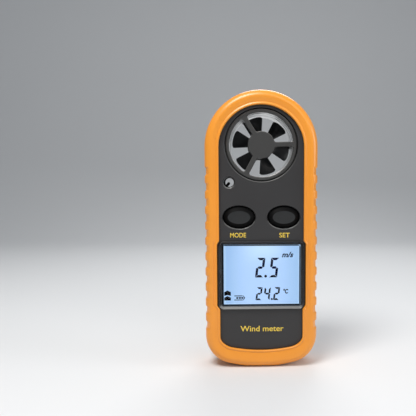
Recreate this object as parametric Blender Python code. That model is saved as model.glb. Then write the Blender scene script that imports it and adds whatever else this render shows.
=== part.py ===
"""A pocket weather meter: a vane anemometer with a thermometer, in a stretched rubber cover.

The meter stands upright. +Z runs along its length, its face looks to -Y, and X is its width.
The origin is on the axis of the case, in the plane of the rubber cover's flat foot.
"""

from math import acos, asin, atan2, cos, pi, radians, sin, sqrt

import bmesh
import bpy
from mathutils import Matrix, Vector

MM = 0.001
GAP = 0.3 * MM

# Case outline, seen from the front: a half round head, straight sides, rounded corners and a
# shallow arc below. The steps are of its half head, of one corner and of half the arc.
CASE_HALF_WIDTH = 20.1 * MM
CASE_HALF_DEPTH = 7.5 * MM
CASE_BOTTOM = 2.4 * MM
HEAD_Z = 88.4 * MM
CORNER_RADIUS = 9.5 * MM
BASE_RADIUS = 62.0 * MM
HEAD_STEPS = 12
CORNER_STEPS = 6
BASE_STEPS = 4
WALL = 1.4 * MM
FACE_WALL = 1.5 * MM

# Rubber cover.
COVER_WALL = 2.4 * MM
COVER_HALF_DEPTH = 9.15 * MM
GRIP_PITCH = 6.15 * MM
GRIP_LOWEST = 17.33 * MM
GRIP_NOTCHES = 11
GRIP_NOTCH_HEIGHT = 3.3 * MM
GRIP_NOTCH_DEPTH = 0.5 * MM

# Wind duct and rotor.
DUCT_Z = 89.3 * MM
DUCT_BORE = 12.4 * MM
GRILLE_RADIUS = 14.2 * MM
HUB_DISC_RADIUS = 5.35 * MM
SPOKE_WIDTH = 1.9 * MM
SPOKE_ANGLES = (2, 122, 242)
SENSOR_SPOKE = 242
BLADES = 6
BLADE_FIRST = 45
BLADE_SPAN = 36
BLADE_RADIUS = 11.7 * MM
ROTOR_HUB_RADIUS = 4.6 * MM

# Temperature sensor hole.
SENSOR_X = -12.9 * MM
SENSOR_Z = 74.6 * MM
SENSOR_BORE = 2.15 * MM

# Keys.
KEY_X = 8.9 * MM
KEY_Z = 60.7 * MM
KEY_WELL = (6.5 * MM, 4.55 * MM)

# Display.
PANE_HALF_WIDTH = 15.55 * MM
PANE_LOW = 25.25 * MM
PANE_HIGH = 49.6 * MM
BEZEL_HALF_WIDTH = 17.4 * MM
BEZEL_LOW = 23.75 * MM
BEZEL_HIGH = 51.2 * MM
BEZEL_FACE = 8.6 * MM

# Battery bay and door, in the back.
CELL_Z = 32.5 * MM
CELL_RADIUS = 10.0 * MM
DOOR_HALF_WIDTH = 11.3 * MM
DOOR_LOW = 19.95 * MM
DOOR_HIGH = 45.0 * MM
DOOR_AXIS_Y = 6.6 * MM
DOOR_AXIS_Z = 20.3 * MM
PIN_RADIUS = 0.36 * MM

# Screws.
CASE_SCREWS = {
    "upper_left": (-14.6 * MM, 68.0 * MM),
    "upper_right": (14.6 * MM, 68.0 * MM),
    "lower_left": (-13.2 * MM, 9.8 * MM),
    "lower_right": (13.2 * MM, 9.8 * MM),
}
BOARD_SCREWS = {"upper": 68.5 * MM, "lower": 12.8 * MM}
BOARD_FRONT = -1.4 * MM
BOARD_BACK = -0.4 * MM


# ---------------------------------------------------------------- scene and materials

for old in list(bpy.data.objects):
    bpy.data.objects.remove(old)


def material(name, colour, roughness, metallic=0.0, alpha=1.0):
    """A Principled material with a linear base colour."""
    made = bpy.data.materials.new(name)
    made.use_nodes = True
    shader = made.node_tree.nodes["Principled BSDF"]
    shader.inputs["Base Color"].default_value = (*colour, 1.0)
    shader.inputs["Roughness"].default_value = roughness
    shader.inputs["Metallic"].default_value = metallic
    shader.inputs["Alpha"].default_value = alpha
    return made


ORANGE_RUBBER = material("orange_rubber", (0.87, 0.34, 0.035), 0.55)
CHARCOAL = material("charcoal_plastic", (0.045, 0.043, 0.045), 0.5)
BLACK_PLASTIC = material("black_plastic", (0.006, 0.006, 0.007), 0.4)
KEY_RUBBER = material("key_rubber", (0.03, 0.03, 0.032), 0.6)
GREY_SILICONE = material("grey_silicone", (0.25, 0.25, 0.26), 0.7)
CARBON = material("carbon", (0.01, 0.01, 0.01), 0.8)
BRIGHT_ALLOY = material("bright_alloy", (0.6, 0.59, 0.57), 0.3, 1.0)
STEEL = material("steel", (0.5, 0.5, 0.5), 0.3, 1.0)
BRASS = material("brass", (0.6, 0.42, 0.15), 0.35, 1.0)
FERRITE = material("ferrite", (0.05, 0.05, 0.055), 0.5)
CLEAR = material("clear_acrylic", (0.9, 0.95, 1.0), 0.05, 0.0, 0.3)
DISPLAY_GLASS = material("display_glass", (0.45, 0.62, 0.85), 0.15)
WHITE_PLASTIC = material("white_plastic", (0.8, 0.8, 0.78), 0.4)
BOARD_GREEN = material("board_green", (0.02, 0.16, 0.06), 0.45)
ZEBRA = material("zebra_rubber", (0.35, 0.2, 0.25), 0.6)
FLEX = material("flex_film", (0.5, 0.2, 0.03), 0.4)


# ---------------------------------------------------------------- outlines and solids


def mirrored(right_half):
    """Closes an outline from its right half, which runs from the top to the bottom on X = 0."""
    left_half = [(-x, z) for x, z in right_half[-2:0:-1]]
    return right_half + left_half


def case_path(side_levels):
    """Points and outward normals of the right half of the case outline, from the top to the bottom."""
    corner_x = CASE_HALF_WIDTH - CORNER_RADIUS
    base_z = CASE_BOTTOM + BASE_RADIUS
    reach = BASE_RADIUS - CORNER_RADIUS
    corner_z = base_z - sqrt(reach**2 - corner_x**2)
    corner_end = -acos(corner_x / reach)
    path = []
    for i in range(HEAD_STEPS + 1):
        angle = pi / 2 - pi / 2 * i / HEAD_STEPS
        normal = Vector((cos(angle), sin(angle)))
        path.append((Vector((0, HEAD_Z)) + normal * CASE_HALF_WIDTH, normal))
    for z in side_levels:
        path.append((Vector((CASE_HALF_WIDTH, z)), Vector((1, 0))))
    for i in range(CORNER_STEPS + 1):
        angle = corner_end * i / CORNER_STEPS
        normal = Vector((cos(angle), sin(angle)))
        path.append((Vector((corner_x, corner_z)) + normal * CORNER_RADIUS, normal))
    for i in range(1, BASE_STEPS + 1):
        angle = corner_end + (-pi / 2 - corner_end) * i / BASE_STEPS
        normal = Vector((cos(angle), sin(angle)))
        path.append((Vector((0, base_z)) + normal * BASE_RADIUS, normal))
    return path


def case_outline(offset):
    """The case outline, moved outwards by the offset."""
    half = [tuple(point + normal * offset) for point, normal in case_path([])]
    half[0] = (0.0, half[0][1])
    half[-1] = (0.0, half[-1][1])
    return mirrored(half)


def ellipse(half_width, half_height, count, centre=(0, 0)):
    turns = [2 * pi * i / count for i in range(count)]
    return [(centre[0] + half_width * cos(t), centre[1] + half_height * sin(t)) for t in turns]


def circle(radius, count, centre=(0, 0)):
    return ellipse(radius, radius, count, centre)


def rounded_rectangle(half_width, low, high, radius, steps=3):
    """A rectangle between two heights, with round corners, anticlockwise from its lower right corner."""
    corners = (
        (half_width - radius, low + radius, -90),
        (half_width - radius, high - radius, 0),
        (radius - half_width, high - radius, 90),
        (radius - half_width, low + radius, 180),
    )
    points = []
    for x, z, start in corners:
        for i in range(steps + 1):
            angle = radians(start + 90 * i / steps)
            points.append((x + radius * cos(angle), z + radius * sin(angle)))
    return points


def stack(layers, closed=False):
    """A solid from outlines of equal length at their depths, bridged in turn. A closed stack is a ring."""
    bm = bmesh.new()
    rows = [[bm.verts.new((x, y, z)) for x, z in outline] for outline, y in layers]
    pairs = list(zip(rows, rows[1:]))
    if closed:
        pairs.append((rows[-1], rows[0]))
    for row, following in pairs:
        for i in range(len(row)):
            j = (i + 1) % len(row)
            bm.faces.new((row[i], row[j], following[j], following[i]))
    if not closed:
        bm.faces.new(rows[0])
        bm.faces.new(rows[-1])
    bmesh.ops.recalc_face_normals(bm, faces=bm.faces)
    return bm


def plate(outline, front, back):
    return stack([(outline, front), (outline, back)])


def tube(outer, inner, front, back):
    """A wall between two outlines of equal length, open at both ends."""
    return stack([(outer, front), (outer, back), (inner, back), (inner, front)], closed=True)


def turned(profile, segments):
    """A profile of (radius, depth) points turned round the Y axis. Off the axis it makes a ring."""
    bm = bmesh.new()
    points = [bm.verts.new((radius, depth, 0)) for radius, depth in profile]
    edges = [bm.edges.new(pair) for pair in zip(points, points[1:])]
    if min(radius for radius, _ in profile) > 0:
        edges.append(bm.edges.new((points[-1], points[0])))
    bmesh.ops.spin(
        bm, geom=points + edges, cent=(0, 0, 0), axis=(0, 1, 0), angle=2 * pi, steps=segments,
        use_merge=True,
    )
    bmesh.ops.remove_doubles(bm, verts=bm.verts, dist=1e-6)
    bmesh.ops.recalc_face_normals(bm, faces=bm.faces)
    return bm


def block(low, high):
    """A box between two corners."""
    bm = bmesh.new()
    bmesh.ops.create_cube(bm, size=1.0)
    low, high = Vector(low), Vector(high)
    for vert in bm.verts:
        vert.co = (low + high) / 2 + Vector(v * s for v, s in zip(vert.co, high - low))
    return bm


def moved(bm, x=0.0, y=0.0, z=0.0):
    bmesh.ops.translate(bm, verts=bm.verts, vec=(x, y, z))
    return bm


def turned_by(bm, degrees):
    """Turned anticlockwise as seen from the front, round the Y axis."""
    bmesh.ops.rotate(bm, verts=bm.verts, cent=(0, 0, 0), matrix=Matrix.Rotation(-radians(degrees), 3, "Y"))
    return bm


def piece(name, bm, finish, origin=(0, 0, 0), smooth=35):
    """An object of the scene from a mesh drawn about its origin."""
    mesh = bpy.data.meshes.new(name)
    bm.to_mesh(mesh)
    bm.free()
    mesh.materials.append(finish)
    mesh.shade_smooth()
    mesh.set_sharp_from_angle(angle=radians(smooth))
    obj = bpy.data.objects.new(name, mesh)
    obj.location = origin
    bpy.context.scene.collection.objects.link(obj)
    return obj


def combine(obj, operation, solids):
    """Joins the solids to the object, or cuts them from it, one after the other."""
    for bm in solids:
        tool = piece("tool", bm, obj.data.materials[0], obj.location)
        boolean = obj.modifiers.new("boolean", "BOOLEAN")
        boolean.operation = operation
        boolean.solver = "EXACT"
        boolean.object = tool
        bpy.context.view_layer.update()
        graph = bpy.context.evaluated_depsgraph_get()
        result = bpy.data.meshes.new_from_object(obj.evaluated_get(graph))
        obj.modifiers.clear()
        obj.data = result
        bpy.data.objects.remove(tool)
    obj.data.shade_smooth()
    obj.data.set_sharp_from_angle(angle=radians(35))
    return obj


def soften(obj, width):
    """Rounds the edges of a plain piece."""
    bevel = obj.modifiers.new("edges", "BEVEL")
    bevel.width = width
    bevel.segments = 1
    bevel.limit_method = "ANGLE"
    return obj


# ---------------------------------------------------------------- rubber cover


def between(z, steps):
    """The value at a height, on straight runs between (height, value) steps from the lowest up."""
    if z <= steps[0][0]:
        return steps[0][1]
    for (low, at_low), (high, at_high) in zip(steps, steps[1:]):
        if z <= high:
            return at_low + (at_high - at_low) * (z - low) / (high - low)
    return steps[-1][1]


def grip_notches():
    """(height, depth) steps up the side: each notch starts, reaches its floor, leaves it and ends."""
    half = GRIP_NOTCH_HEIGHT / 2
    slope = 0.4 * MM
    steps = []
    for i in range(GRIP_NOTCHES):
        centre = GRIP_LOWEST + GRIP_PITCH * i
        steps.append((centre - half, 0.0))
        steps.append((centre - half + slope, GRIP_NOTCH_DEPTH))
        steps.append((centre + half - slope, GRIP_NOTCH_DEPTH))
        steps.append((centre + half, 0.0))
    return steps


LIP_STEP_HEIGHTS = (
    BEZEL_LOW - 0.35 * MM,
    BEZEL_LOW + 1.9 * MM,
    BEZEL_HIGH - 1.4 * MM,
    BEZEL_HIGH + 0.3 * MM,
)


def lip_reach(z, beside_bezel):
    """How far a lip reaches in over the case. The front lip steps out to clear the display bezel."""
    beside_panel = 3.3 * MM
    beside_label = 3.6 * MM
    return between(
        z,
        (
            (CASE_BOTTOM, 4.75 * MM),
            (CASE_BOTTOM + CORNER_RADIUS, beside_label),
            (LIP_STEP_HEIGHTS[0], beside_label),
            (LIP_STEP_HEIGHTS[1], beside_bezel),
            (LIP_STEP_HEIGHTS[2], beside_bezel),
            (LIP_STEP_HEIGHTS[3], beside_panel),
            (HEAD_Z, beside_panel),
            (HEAD_Z + CASE_HALF_WIDTH, 3.7 * MM),
        ),
    )


def cover_wall(normal):
    """The cover's wall. Below the base arc it thickens to a flat foot between two straight runs."""
    tilt = atan2(normal.x, -normal.y)
    corner = asin((CASE_HALF_WIDTH - CORNER_RADIUS) / (BASE_RADIUS - CORNER_RADIUS))
    if tilt >= corner:
        return COVER_WALL
    return (COVER_WALL + BASE_RADIUS) / cos(min(tilt, corner - tilt)) - BASE_RADIUS


def protective_boot():
    """A soft ring round the case. Its lips hold both faces, and notches line its sides."""
    notches = grip_notches()
    levels = sorted([z for z, _ in notches] + list(LIP_STEP_HEIGHTS), reverse=True)
    depth = COVER_HALF_DEPTH
    inside = CASE_HALF_DEPTH + GAP
    rows = []
    for point, normal in case_path(levels):
        outer = cover_wall(normal) - between(point.y, notches)
        front = lip_reach(point.y, 2.45 * MM)
        back = lip_reach(point.y, 3.45 * MM)
        section = (
            (GAP, -inside),
            (-front, -inside),
            (-front, -depth + 0.45 * MM),
            (-front + 0.4 * MM, -depth + 0.15 * MM),
            (-0.6 * MM, -depth),
            (0.9 * MM, -depth + 0.45 * MM),
            (outer - 0.35 * MM, -depth + 1.75 * MM),
            (outer, -depth + 3.2 * MM),
            (outer, depth - 3.2 * MM),
            (outer - 0.35 * MM, depth - 1.75 * MM),
            (0.9 * MM, depth - 0.45 * MM),
            (-0.2 * MM, depth),
            (-back + 0.3 * MM, depth),
            (-back, depth - 0.3 * MM),
            (-back, inside),
            (GAP, inside),
        )
        rows.append([(point + normal * out, y) for out, y in section])
    bm = bmesh.new()
    count = len(rows)
    around = rows + [[(Vector((-p.x, p.y)), y) for p, y in row] for row in rows[count - 2 : 0 : -1]]
    for end in (0, count - 1):
        around[end] = [(Vector((0, p.y)), y) for p, y in around[end]]
    verts = [[bm.verts.new((p.x, y, p.y)) for p, y in row] for row in around]
    for i, row in enumerate(verts):
        following = verts[(i + 1) % len(verts)]
        for j in range(len(row)):
            k = (j + 1) % len(row)
            bm.faces.new((row[j], row[k], following[k], following[j]))
    bmesh.ops.recalc_face_normals(bm, faces=bm.faces)
    return piece("protective_boot", bm, ORANGE_RUBBER, smooth=50)


# ---------------------------------------------------------------- case


def shell(name, side, parting):
    """Half of the case: a face with a rounded edge, and side walls back to the parting line."""
    face = side * CASE_HALF_DEPTH
    outer_edge = case_outline(-1.2 * MM)
    layers = [
        (outer_edge, face),
        (case_outline(-0.4 * MM), face - side * 0.3 * MM),
        (case_outline(0), face - side * 1.1 * MM),
        (case_outline(0), parting),
        (case_outline(-WALL), parting),
        (case_outline(-WALL), face - side * FACE_WALL),
    ]
    return piece(name, stack(layers), CHARCOAL)


def front_case():
    """The face, with its bezel, key wells and sensor tube, and the posts that take the screws."""
    floor = -CASE_HALF_DEPTH + FACE_WALL
    root = floor - 0.5 * MM
    case = shell("front_case", -1, 0.0)
    bezel = plate(
        rounded_rectangle(BEZEL_HALF_WIDTH, BEZEL_LOW, BEZEL_HIGH, 2.6 * MM), -BEZEL_FACE, root
    )
    posts = [plate(circle(1.9 * MM, 12, at), root, 0.0) for at in CASE_SCREWS.values()]
    posts += [plate(circle(1.6 * MM, 12, (0, z)), root, BOARD_FRONT - GAP) for z in BOARD_SCREWS.values()]
    posts.append(plate(circle(3.0 * MM, 20, (SENSOR_X, SENSOR_Z)), root, -0.6 * MM))
    combine(case, "UNION", [bezel] + posts)
    inner_low = PANE_LOW - GAP
    inner_high = PANE_HIGH + GAP
    inner_half = PANE_HALF_WIDTH + GAP
    outside = BEZEL_FACE + 1.0 * MM
    flare = 2.0 * MM
    mouth = rounded_rectangle(inner_half + flare, inner_low - flare, inner_high + flare, 2.6 * MM)
    throat = rounded_rectangle(inner_half, inner_low, inner_high, 0.9 * MM)
    window = stack(
        [
            (mouth, -outside),
            (throat, -CASE_HALF_DEPTH),
            (throat, floor + 1.0 * MM),
        ]
    )
    wells = []
    for x in (-KEY_X, KEY_X):
        wide = ellipse(KEY_WELL[0] + 0.9 * MM, KEY_WELL[1] + 0.9 * MM, 28, (x, KEY_Z))
        well = ellipse(KEY_WELL[0], KEY_WELL[1], 28, (x, KEY_Z))
        layers = [(wide, -outside + 1.5 * MM), (well, -CASE_HALF_DEPTH + 0.5 * MM), (well, floor + MM)]
        wells.append(stack(layers))
    at = (SENSOR_X, SENSOR_Z)
    hole = stack(
        [
            (circle(SENSOR_BORE + 1.0 * MM, 20, at), -CASE_HALF_DEPTH - 0.5 * MM),
            (circle(SENSOR_BORE, 20, at), -CASE_HALF_DEPTH + 0.5 * MM),
            (circle(SENSOR_BORE, 20, at), MM),
        ]
    )
    duct = plate(circle(GRILLE_RADIUS + GAP, 48, (0, DUCT_Z)), -outside, floor + MM)
    pilots = [plate(circle(1.1 * MM, 10, at), -3.2 * MM, MM) for at in CASE_SCREWS.values()]
    pilots += [plate(circle(0.9 * MM, 10, (0, z)), -4.4 * MM, MM) for z in BOARD_SCREWS.values()]
    combine(case, "DIFFERENCE", [window, *wells, hole, duct, *pilots])
    return case


def rear_case():
    """The back, with the battery bay, its hinge pockets, the sensor tube and the screw sockets."""
    floor = CASE_HALF_DEPTH - FACE_WALL
    root = floor + 0.5 * MM
    start = 0.3 * MM
    outside = CASE_HALF_DEPTH + MM
    case = shell("rear_case", 1, start)
    bay = rounded_rectangle(CELL_RADIUS + 1.4 * MM, CELL_Z - 11.8 * MM, CELL_Z + 11.8 * MM, 1.2 * MM, 2)
    additions = [plate(bay, 0.8 * MM, root)]
    additions += [plate(circle(2.7 * MM, 16, at), start, root) for at in CASE_SCREWS.values()]
    additions.append(plate(circle(3.0 * MM, 20, (SENSOR_X, SENSOR_Z)), 0.9 * MM, root))
    for side in (-1, 1):
        inner, outer = sorted((side * (DOOR_HALF_WIDTH - 0.3 * MM), side * (DOOR_HALF_WIDTH + 2.0 * MM)))
        additions.append(
            block((inner, 4.6 * MM, DOOR_AXIS_Z - 1.2 * MM), (outer, root, DOOR_AXIS_Z + 1.3 * MM))
        )
    combine(case, "UNION", additions)
    opening = rounded_rectangle(DOOR_HALF_WIDTH + GAP, DOOR_LOW - 0.45 * MM, DOOR_HIGH + GAP, 1.0 * MM, 2)
    cuts = [
        plate(opening, floor, outside),
        plate(
            rounded_rectangle(CELL_RADIUS + 0.6 * MM, CELL_Z - 10.9 * MM, CELL_Z + 10.9 * MM, 1.0 * MM, 2),
            -MM,
            floor + 0.2 * MM,
        ),
        plate(circle(GRILLE_RADIUS + GAP, 48, (0, DUCT_Z)), -MM, outside),
        plate(circle(1.8 * MM, 20, (SENSOR_X, SENSOR_Z)), -MM, outside),
    ]
    for at in CASE_SCREWS.values():
        cuts.append(plate(circle(1.15 * MM, 10, at), -MM, outside))
        cuts.append(plate(circle(2.1 * MM, 16, at), floor - 0.4 * MM, outside))
    pocket_start = DOOR_HALF_WIDTH - 0.4 * MM
    pocket_end = DOOR_HALF_WIDTH + 1.3 * MM
    for side in (-1, 1):
        left, right = sorted((side * pocket_start, side * pocket_end))
        pocket = cylinder_x(PIN_RADIUS + 0.19 * MM, left, right, 10)
        cuts.append(moved(pocket, y=DOOR_AXIS_Y, z=DOOR_AXIS_Z))
    combine(case, "DIFFERENCE", cuts)
    return case


def cylinder_x(radius, left, right, count):
    """A cylinder along X, centred on the X axis."""
    bm = bmesh.new()
    bmesh.ops.create_cone(
        bm,
        cap_ends=True,
        segments=count,
        radius1=radius,
        radius2=radius,
        depth=right - left,
        matrix=Matrix.Translation(((left + right) / 2, 0, 0)) @ Matrix.Rotation(pi / 2, 4, "Y"),
    )
    return bm


# ---------------------------------------------------------------- wind duct


def grille(name, side):
    """A ring with a flange inside the case, three spokes, and a hub cup that holds a bearing."""
    face = 7.3 * MM
    ring_back = 6.35 * MM
    skirt_back = 4.9 * MM
    profile = [
        (12.7, face),
        (14.2, face),
        (14.2, 5.7 * MM),
        (15.4, 5.7 * MM),
        (15.4, skirt_back),
        (13.65, skirt_back),
        (13.65, ring_back),
        (12.7, ring_back),
    ]
    ring = turned([(r * MM, side * y) for r, y in profile], 48)
    obj = piece(name, ring, CHARCOAL, (0, 0, DUCT_Z))
    hub = turned(
        [
            (0, side * face),
            (HUB_DISC_RADIUS, side * face),
            (HUB_DISC_RADIUS, side * skirt_back),
            (4.6 * MM, side * skirt_back),
            (4.6 * MM, side * ring_back),
            (2.5 * MM, side * ring_back),
            (2.5 * MM, side * skirt_back),
            (1.8 * MM, side * skirt_back),
            (1.8 * MM, side * ring_back),
            (0, side * ring_back),
        ],
        32,
    )
    additions = [hub]
    low, high = sorted((side * (face - 0.05 * MM), side * (ring_back + 0.05 * MM)))
    for angle in SPOKE_ANGLES:
        spoke = block((5.0 * MM, low, -SPOKE_WIDTH / 2), (13.0 * MM, high, SPOKE_WIDTH / 2))
        additions.append(turned_by(spoke, angle))
    combine(obj, "UNION", additions)
    return obj


def sensor_slot(inner, outer, front, back):
    """A slot for the sensor's flat lead, along the spoke that carries it."""
    return turned_by(block((inner, front, -1.0 * MM), (outer, back, 1.0 * MM)), SENSOR_SPOKE)


def duct_liner():
    profile = [
        (DUCT_BORE + 0.2 * MM, -6.05 * MM),
        (13.35 * MM, -6.05 * MM),
        (13.35 * MM, 6.05 * MM),
        (DUCT_BORE - 0.15 * MM, 6.05 * MM),
    ]
    obj = piece("duct_liner", turned(profile, 48), BRIGHT_ALLOY, (0, 0, DUCT_Z))
    return combine(obj, "DIFFERENCE", [sensor_slot(11.0 * MM, 15.0 * MM, 4.75 * MM, 7.0 * MM)])


def blade(middle):
    """One blade: a thin helical sheet whose outline, seen along the axis, is a sector."""
    half_thickness = 0.3 * MM
    rise = 2.3 * MM
    angles = [middle + BLADE_SPAN * (i / 4 - 0.5) for i in range(5)]
    radii = (4.2 * MM, 8.0 * MM, BLADE_RADIUS)
    bm = bmesh.new()

    def corner(radius, i, half):
        angle = radians(angles[i])
        twist = 1.0 - 0.35 * (radius - radii[0]) / (BLADE_RADIUS - radii[0])
        y = 0.6 * MM + rise * (i / 2 - 1) * twist + half
        return bm.verts.new((radius * cos(angle), y, radius * sin(angle)))

    front = [[corner(r, i, -half_thickness) for i in range(5)] for r in radii]
    back = [[corner(r, i, half_thickness) for i in range(5)] for r in radii]
    for grid in (front, back):
        for a in range(2):
            for i in range(4):
                bm.faces.new((grid[a][i], grid[a][i + 1], grid[a + 1][i + 1], grid[a + 1][i]))
    for a in (0, 2):
        for i in range(4):
            bm.faces.new((front[a][i], front[a][i + 1], back[a][i + 1], back[a][i]))
    for i in (0, 4):
        for a in range(2):
            bm.faces.new((front[a][i], front[a + 1][i], back[a + 1][i], back[a][i]))
    bmesh.ops.recalc_face_normals(bm, faces=bm.faces)
    return bm


def impeller():
    hub = turned(
        [
            (0.62 * MM, -4.2 * MM),
            (3.6 * MM, -4.2 * MM),
            (ROTOR_HUB_RADIUS, -3.4 * MM),
            (ROTOR_HUB_RADIUS, 3.5 * MM),
            (0.62 * MM, 3.5 * MM),
        ],
        24,
    )
    obj = piece("impeller", hub, BLACK_PLASTIC, (0, 0, DUCT_Z))
    return combine(obj, "UNION", [blade(BLADE_FIRST + 360 / BLADES * i) for i in range(BLADES)])


def rotor_parts():
    """Shaft, magnet and bearings, all on the duct's axis."""
    axis = (0, 0, DUCT_Z)
    shaft = turned([(0, -6.0 * MM), (0.5 * MM, -5.8 * MM), (0.5 * MM, 5.8 * MM), (0, 6.0 * MM)], 12)
    piece("impeller_shaft", shaft, STEEL, axis)
    magnet = [(1.0 * MM, 3.8 * MM), (3.4 * MM, 3.8 * MM), (3.4 * MM, 4.5 * MM), (1.0 * MM, 4.5 * MM)]
    piece("rotor_magnet", turned(magnet, 20), FERRITE, axis)
    for name, side in (("front_bearing", -1), ("rear_bearing", 1)):
        bush = [(0.6, 5.0), (1.5, 5.0), (1.5, 6.05), (0.6, 6.05)]
        piece(name, turned([(r * MM, side * y * MM) for r, y in bush], 16), BRASS, axis)


def speed_sensor():
    """A magnetic switch in the rear hub, and the flat lead that runs from it to the board."""
    body = block((2.85 * MM, 4.85 * MM, -1.3 * MM), (4.2 * MM, 6.0 * MM, 1.3 * MM))
    soften(piece("speed_sensor", turned_by(body, SENSOR_SPOKE), BLACK_PLASTIC, (0, 0, DUCT_Z)), 0.12 * MM)
    thick = 0.2 * MM
    half = 0.7 * MM
    line = [(4.6, 5.2), (16.6, 5.2), (16.6, 0.1), (21.4, 0.1)]
    line = [(r * MM, y * MM) for r, y in line]
    inward = ((0, -1), (-1, -1), (-1, -1), (0, -1))
    inner = [(r + s * thick, y + t * thick) for (r, y), (s, t) in zip(line, inward)]
    bm = bmesh.new()
    rows = []
    for (r, y), (r2, y2) in zip(line, inner):
        corners = ((r, y, -half), (r, y, half), (r2, y2, half), (r2, y2, -half))
        rows.append([bm.verts.new(co) for co in corners])
    for row, following in zip(rows, rows[1:]):
        for i in range(4):
            j = (i + 1) % 4
            bm.faces.new((row[i], row[j], following[j], following[i]))
    bm.faces.new(rows[0])
    bm.faces.new(rows[-1])
    bmesh.ops.recalc_face_normals(bm, faces=bm.faces)
    piece("sensor_flex", turned_by(bm, SENSOR_SPOKE), FLEX, (0, 0, DUCT_Z))


# ---------------------------------------------------------------- temperature sensor


def temperature_sensor():
    """A glass bead in the through hole, on a lead that passes between the two sensor tubes to the board."""
    way = [(-12.75, 74.55), (-13.3, 73.95), (-14.75, 72.15), (-14.1, 71.35), (-11.2, 70.3)]
    width = [0.25, 0.62, 0.27, 0.25, 0.25]
    depth = 0.25 * MM
    sides = 8
    bm = bmesh.new()
    rows = []
    for i, (x, z) in enumerate(way):
        before = Vector(way[max(i - 1, 0)])
        after = Vector(way[min(i + 1, len(way) - 1)])
        along = (after - before).normalized()
        across = Vector((-along.y, along.x))
        row = []
        for k in range(sides):
            angle = 2 * pi * k / sides
            out = across * cos(angle) * width[i] * MM
            row.append(bm.verts.new((x * MM + out.x, depth + sin(angle) * width[i] * MM, z * MM + out.y)))
        rows.append(row)
    for row, following in zip(rows, rows[1:]):
        for i in range(sides):
            j = (i + 1) % sides
            bm.faces.new((row[i], row[j], following[j], following[i]))
    bm.faces.new(rows[0])
    bm.faces.new(rows[-1])
    bmesh.ops.recalc_face_normals(bm, faces=bm.faces)
    return piece("temperature_sensor", bm, BLACK_PLASTIC)


# ---------------------------------------------------------------- display


def display():
    """The pane in the bezel, and behind it the display's glass, holder, light and rubber contacts."""
    pane = plate(rounded_rectangle(PANE_HALF_WIDTH, PANE_LOW, PANE_HIGH, 0.7 * MM), -7.5 * MM, -6.6 * MM)
    piece("display_window", pane, CLEAR)
    middle = (PANE_LOW + PANE_HIGH) / 2
    glass = block((-16.9 * MM, -5.7 * MM, middle - 13.9 * MM), (16.9 * MM, -4.3 * MM, middle + 13.9 * MM))
    piece("lcd_glass", glass, DISPLAY_GLASS)
    outer = rounded_rectangle(18.1 * MM, middle - 15.1 * MM, middle + 15.1 * MM, 0.8 * MM, 1)
    inner = rounded_rectangle(17.2 * MM, middle - 14.2 * MM, middle + 14.2 * MM, 0.3 * MM, 1)
    piece("lcd_holder", tube(outer, inner, -5.7 * MM, -1.8 * MM), WHITE_PLASTIC)
    light = block((-15.8 * MM, -4.0 * MM, middle - 11.2 * MM), (16.6 * MM, -2.4 * MM, middle + 11.2 * MM))
    soften(piece("backlight_panel", light, WHITE_PLASTIC), 0.2 * MM)
    led = block((-17.0 * MM, -3.9 * MM, middle - 1.6 * MM), (-16.1 * MM, -2.6 * MM, middle + 1.6 * MM))
    soften(piece("backlight_led", led, WHITE_PLASTIC), 0.1 * MM)
    for name, side in (("upper_contact_strip", 1), ("lower_contact_strip", -1)):
        low, high = sorted((middle + side * 11.7 * MM, middle + side * 13.6 * MM))
        strip = block((-15.4 * MM, -4.0 * MM, low), (15.4 * MM, -1.7 * MM, high))
        soften(piece(name, strip, ZEBRA), 0.2 * MM)


# ---------------------------------------------------------------- keys


def key(name, x):
    """An oval rubber key. Its flange stops behind the face, and a carbon pill closes the contact."""
    layers = (
        (4.55, 2.55, -8.42),
        (4.75, 2.75, -8.3),
        (5.3, 3.35, -7.75),
        (6.05, 4.1, -7.0),
        (6.15, 4.2, -6.3),
        (6.15, 4.2, -5.7),
        (7.0, 5.0, -5.7),
        (7.0, 5.0, -4.9),
        (3.2, 2.4, -4.7),
        (3.0, 2.2, -3.4),
    )
    solid = stack([(ellipse(a * MM, b * MM, 28), y * MM) for a, b, y in layers])
    origin = (x, 0, KEY_Z)
    piece(name, solid, KEY_RUBBER, origin)
    pill = plate(circle(1.7 * MM, 16), -3.1 * MM, -2.5 * MM)
    piece(name + "_contact", pill, CARBON, origin)


def keypad_mat():
    """The keypad's rubber sheet, with a collar round each key's contact."""
    sheet = plate(rounded_rectangle(16.4 * MM, 55.6 * MM, 65.4 * MM, 1.0 * MM, 2), -2.3 * MM, -1.7 * MM)
    obj = piece("keypad_mat", sheet, GREY_SILICONE)
    centres = [(-KEY_X, KEY_Z), (KEY_X, KEY_Z)]
    collars = [ellipse(5.9 * MM, 4.3 * MM, 24, at) for at in centres]
    bores = [ellipse(5.0 * MM, 3.4 * MM, 24, at) for at in centres]
    combine(obj, "UNION", [plate(collar, -3.7 * MM, -2.0 * MM) for collar in collars])
    combine(obj, "DIFFERENCE", [plate(bore, -5.0 * MM, 0.0) for bore in bores])
    return obj


# ---------------------------------------------------------------- board and battery


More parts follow.
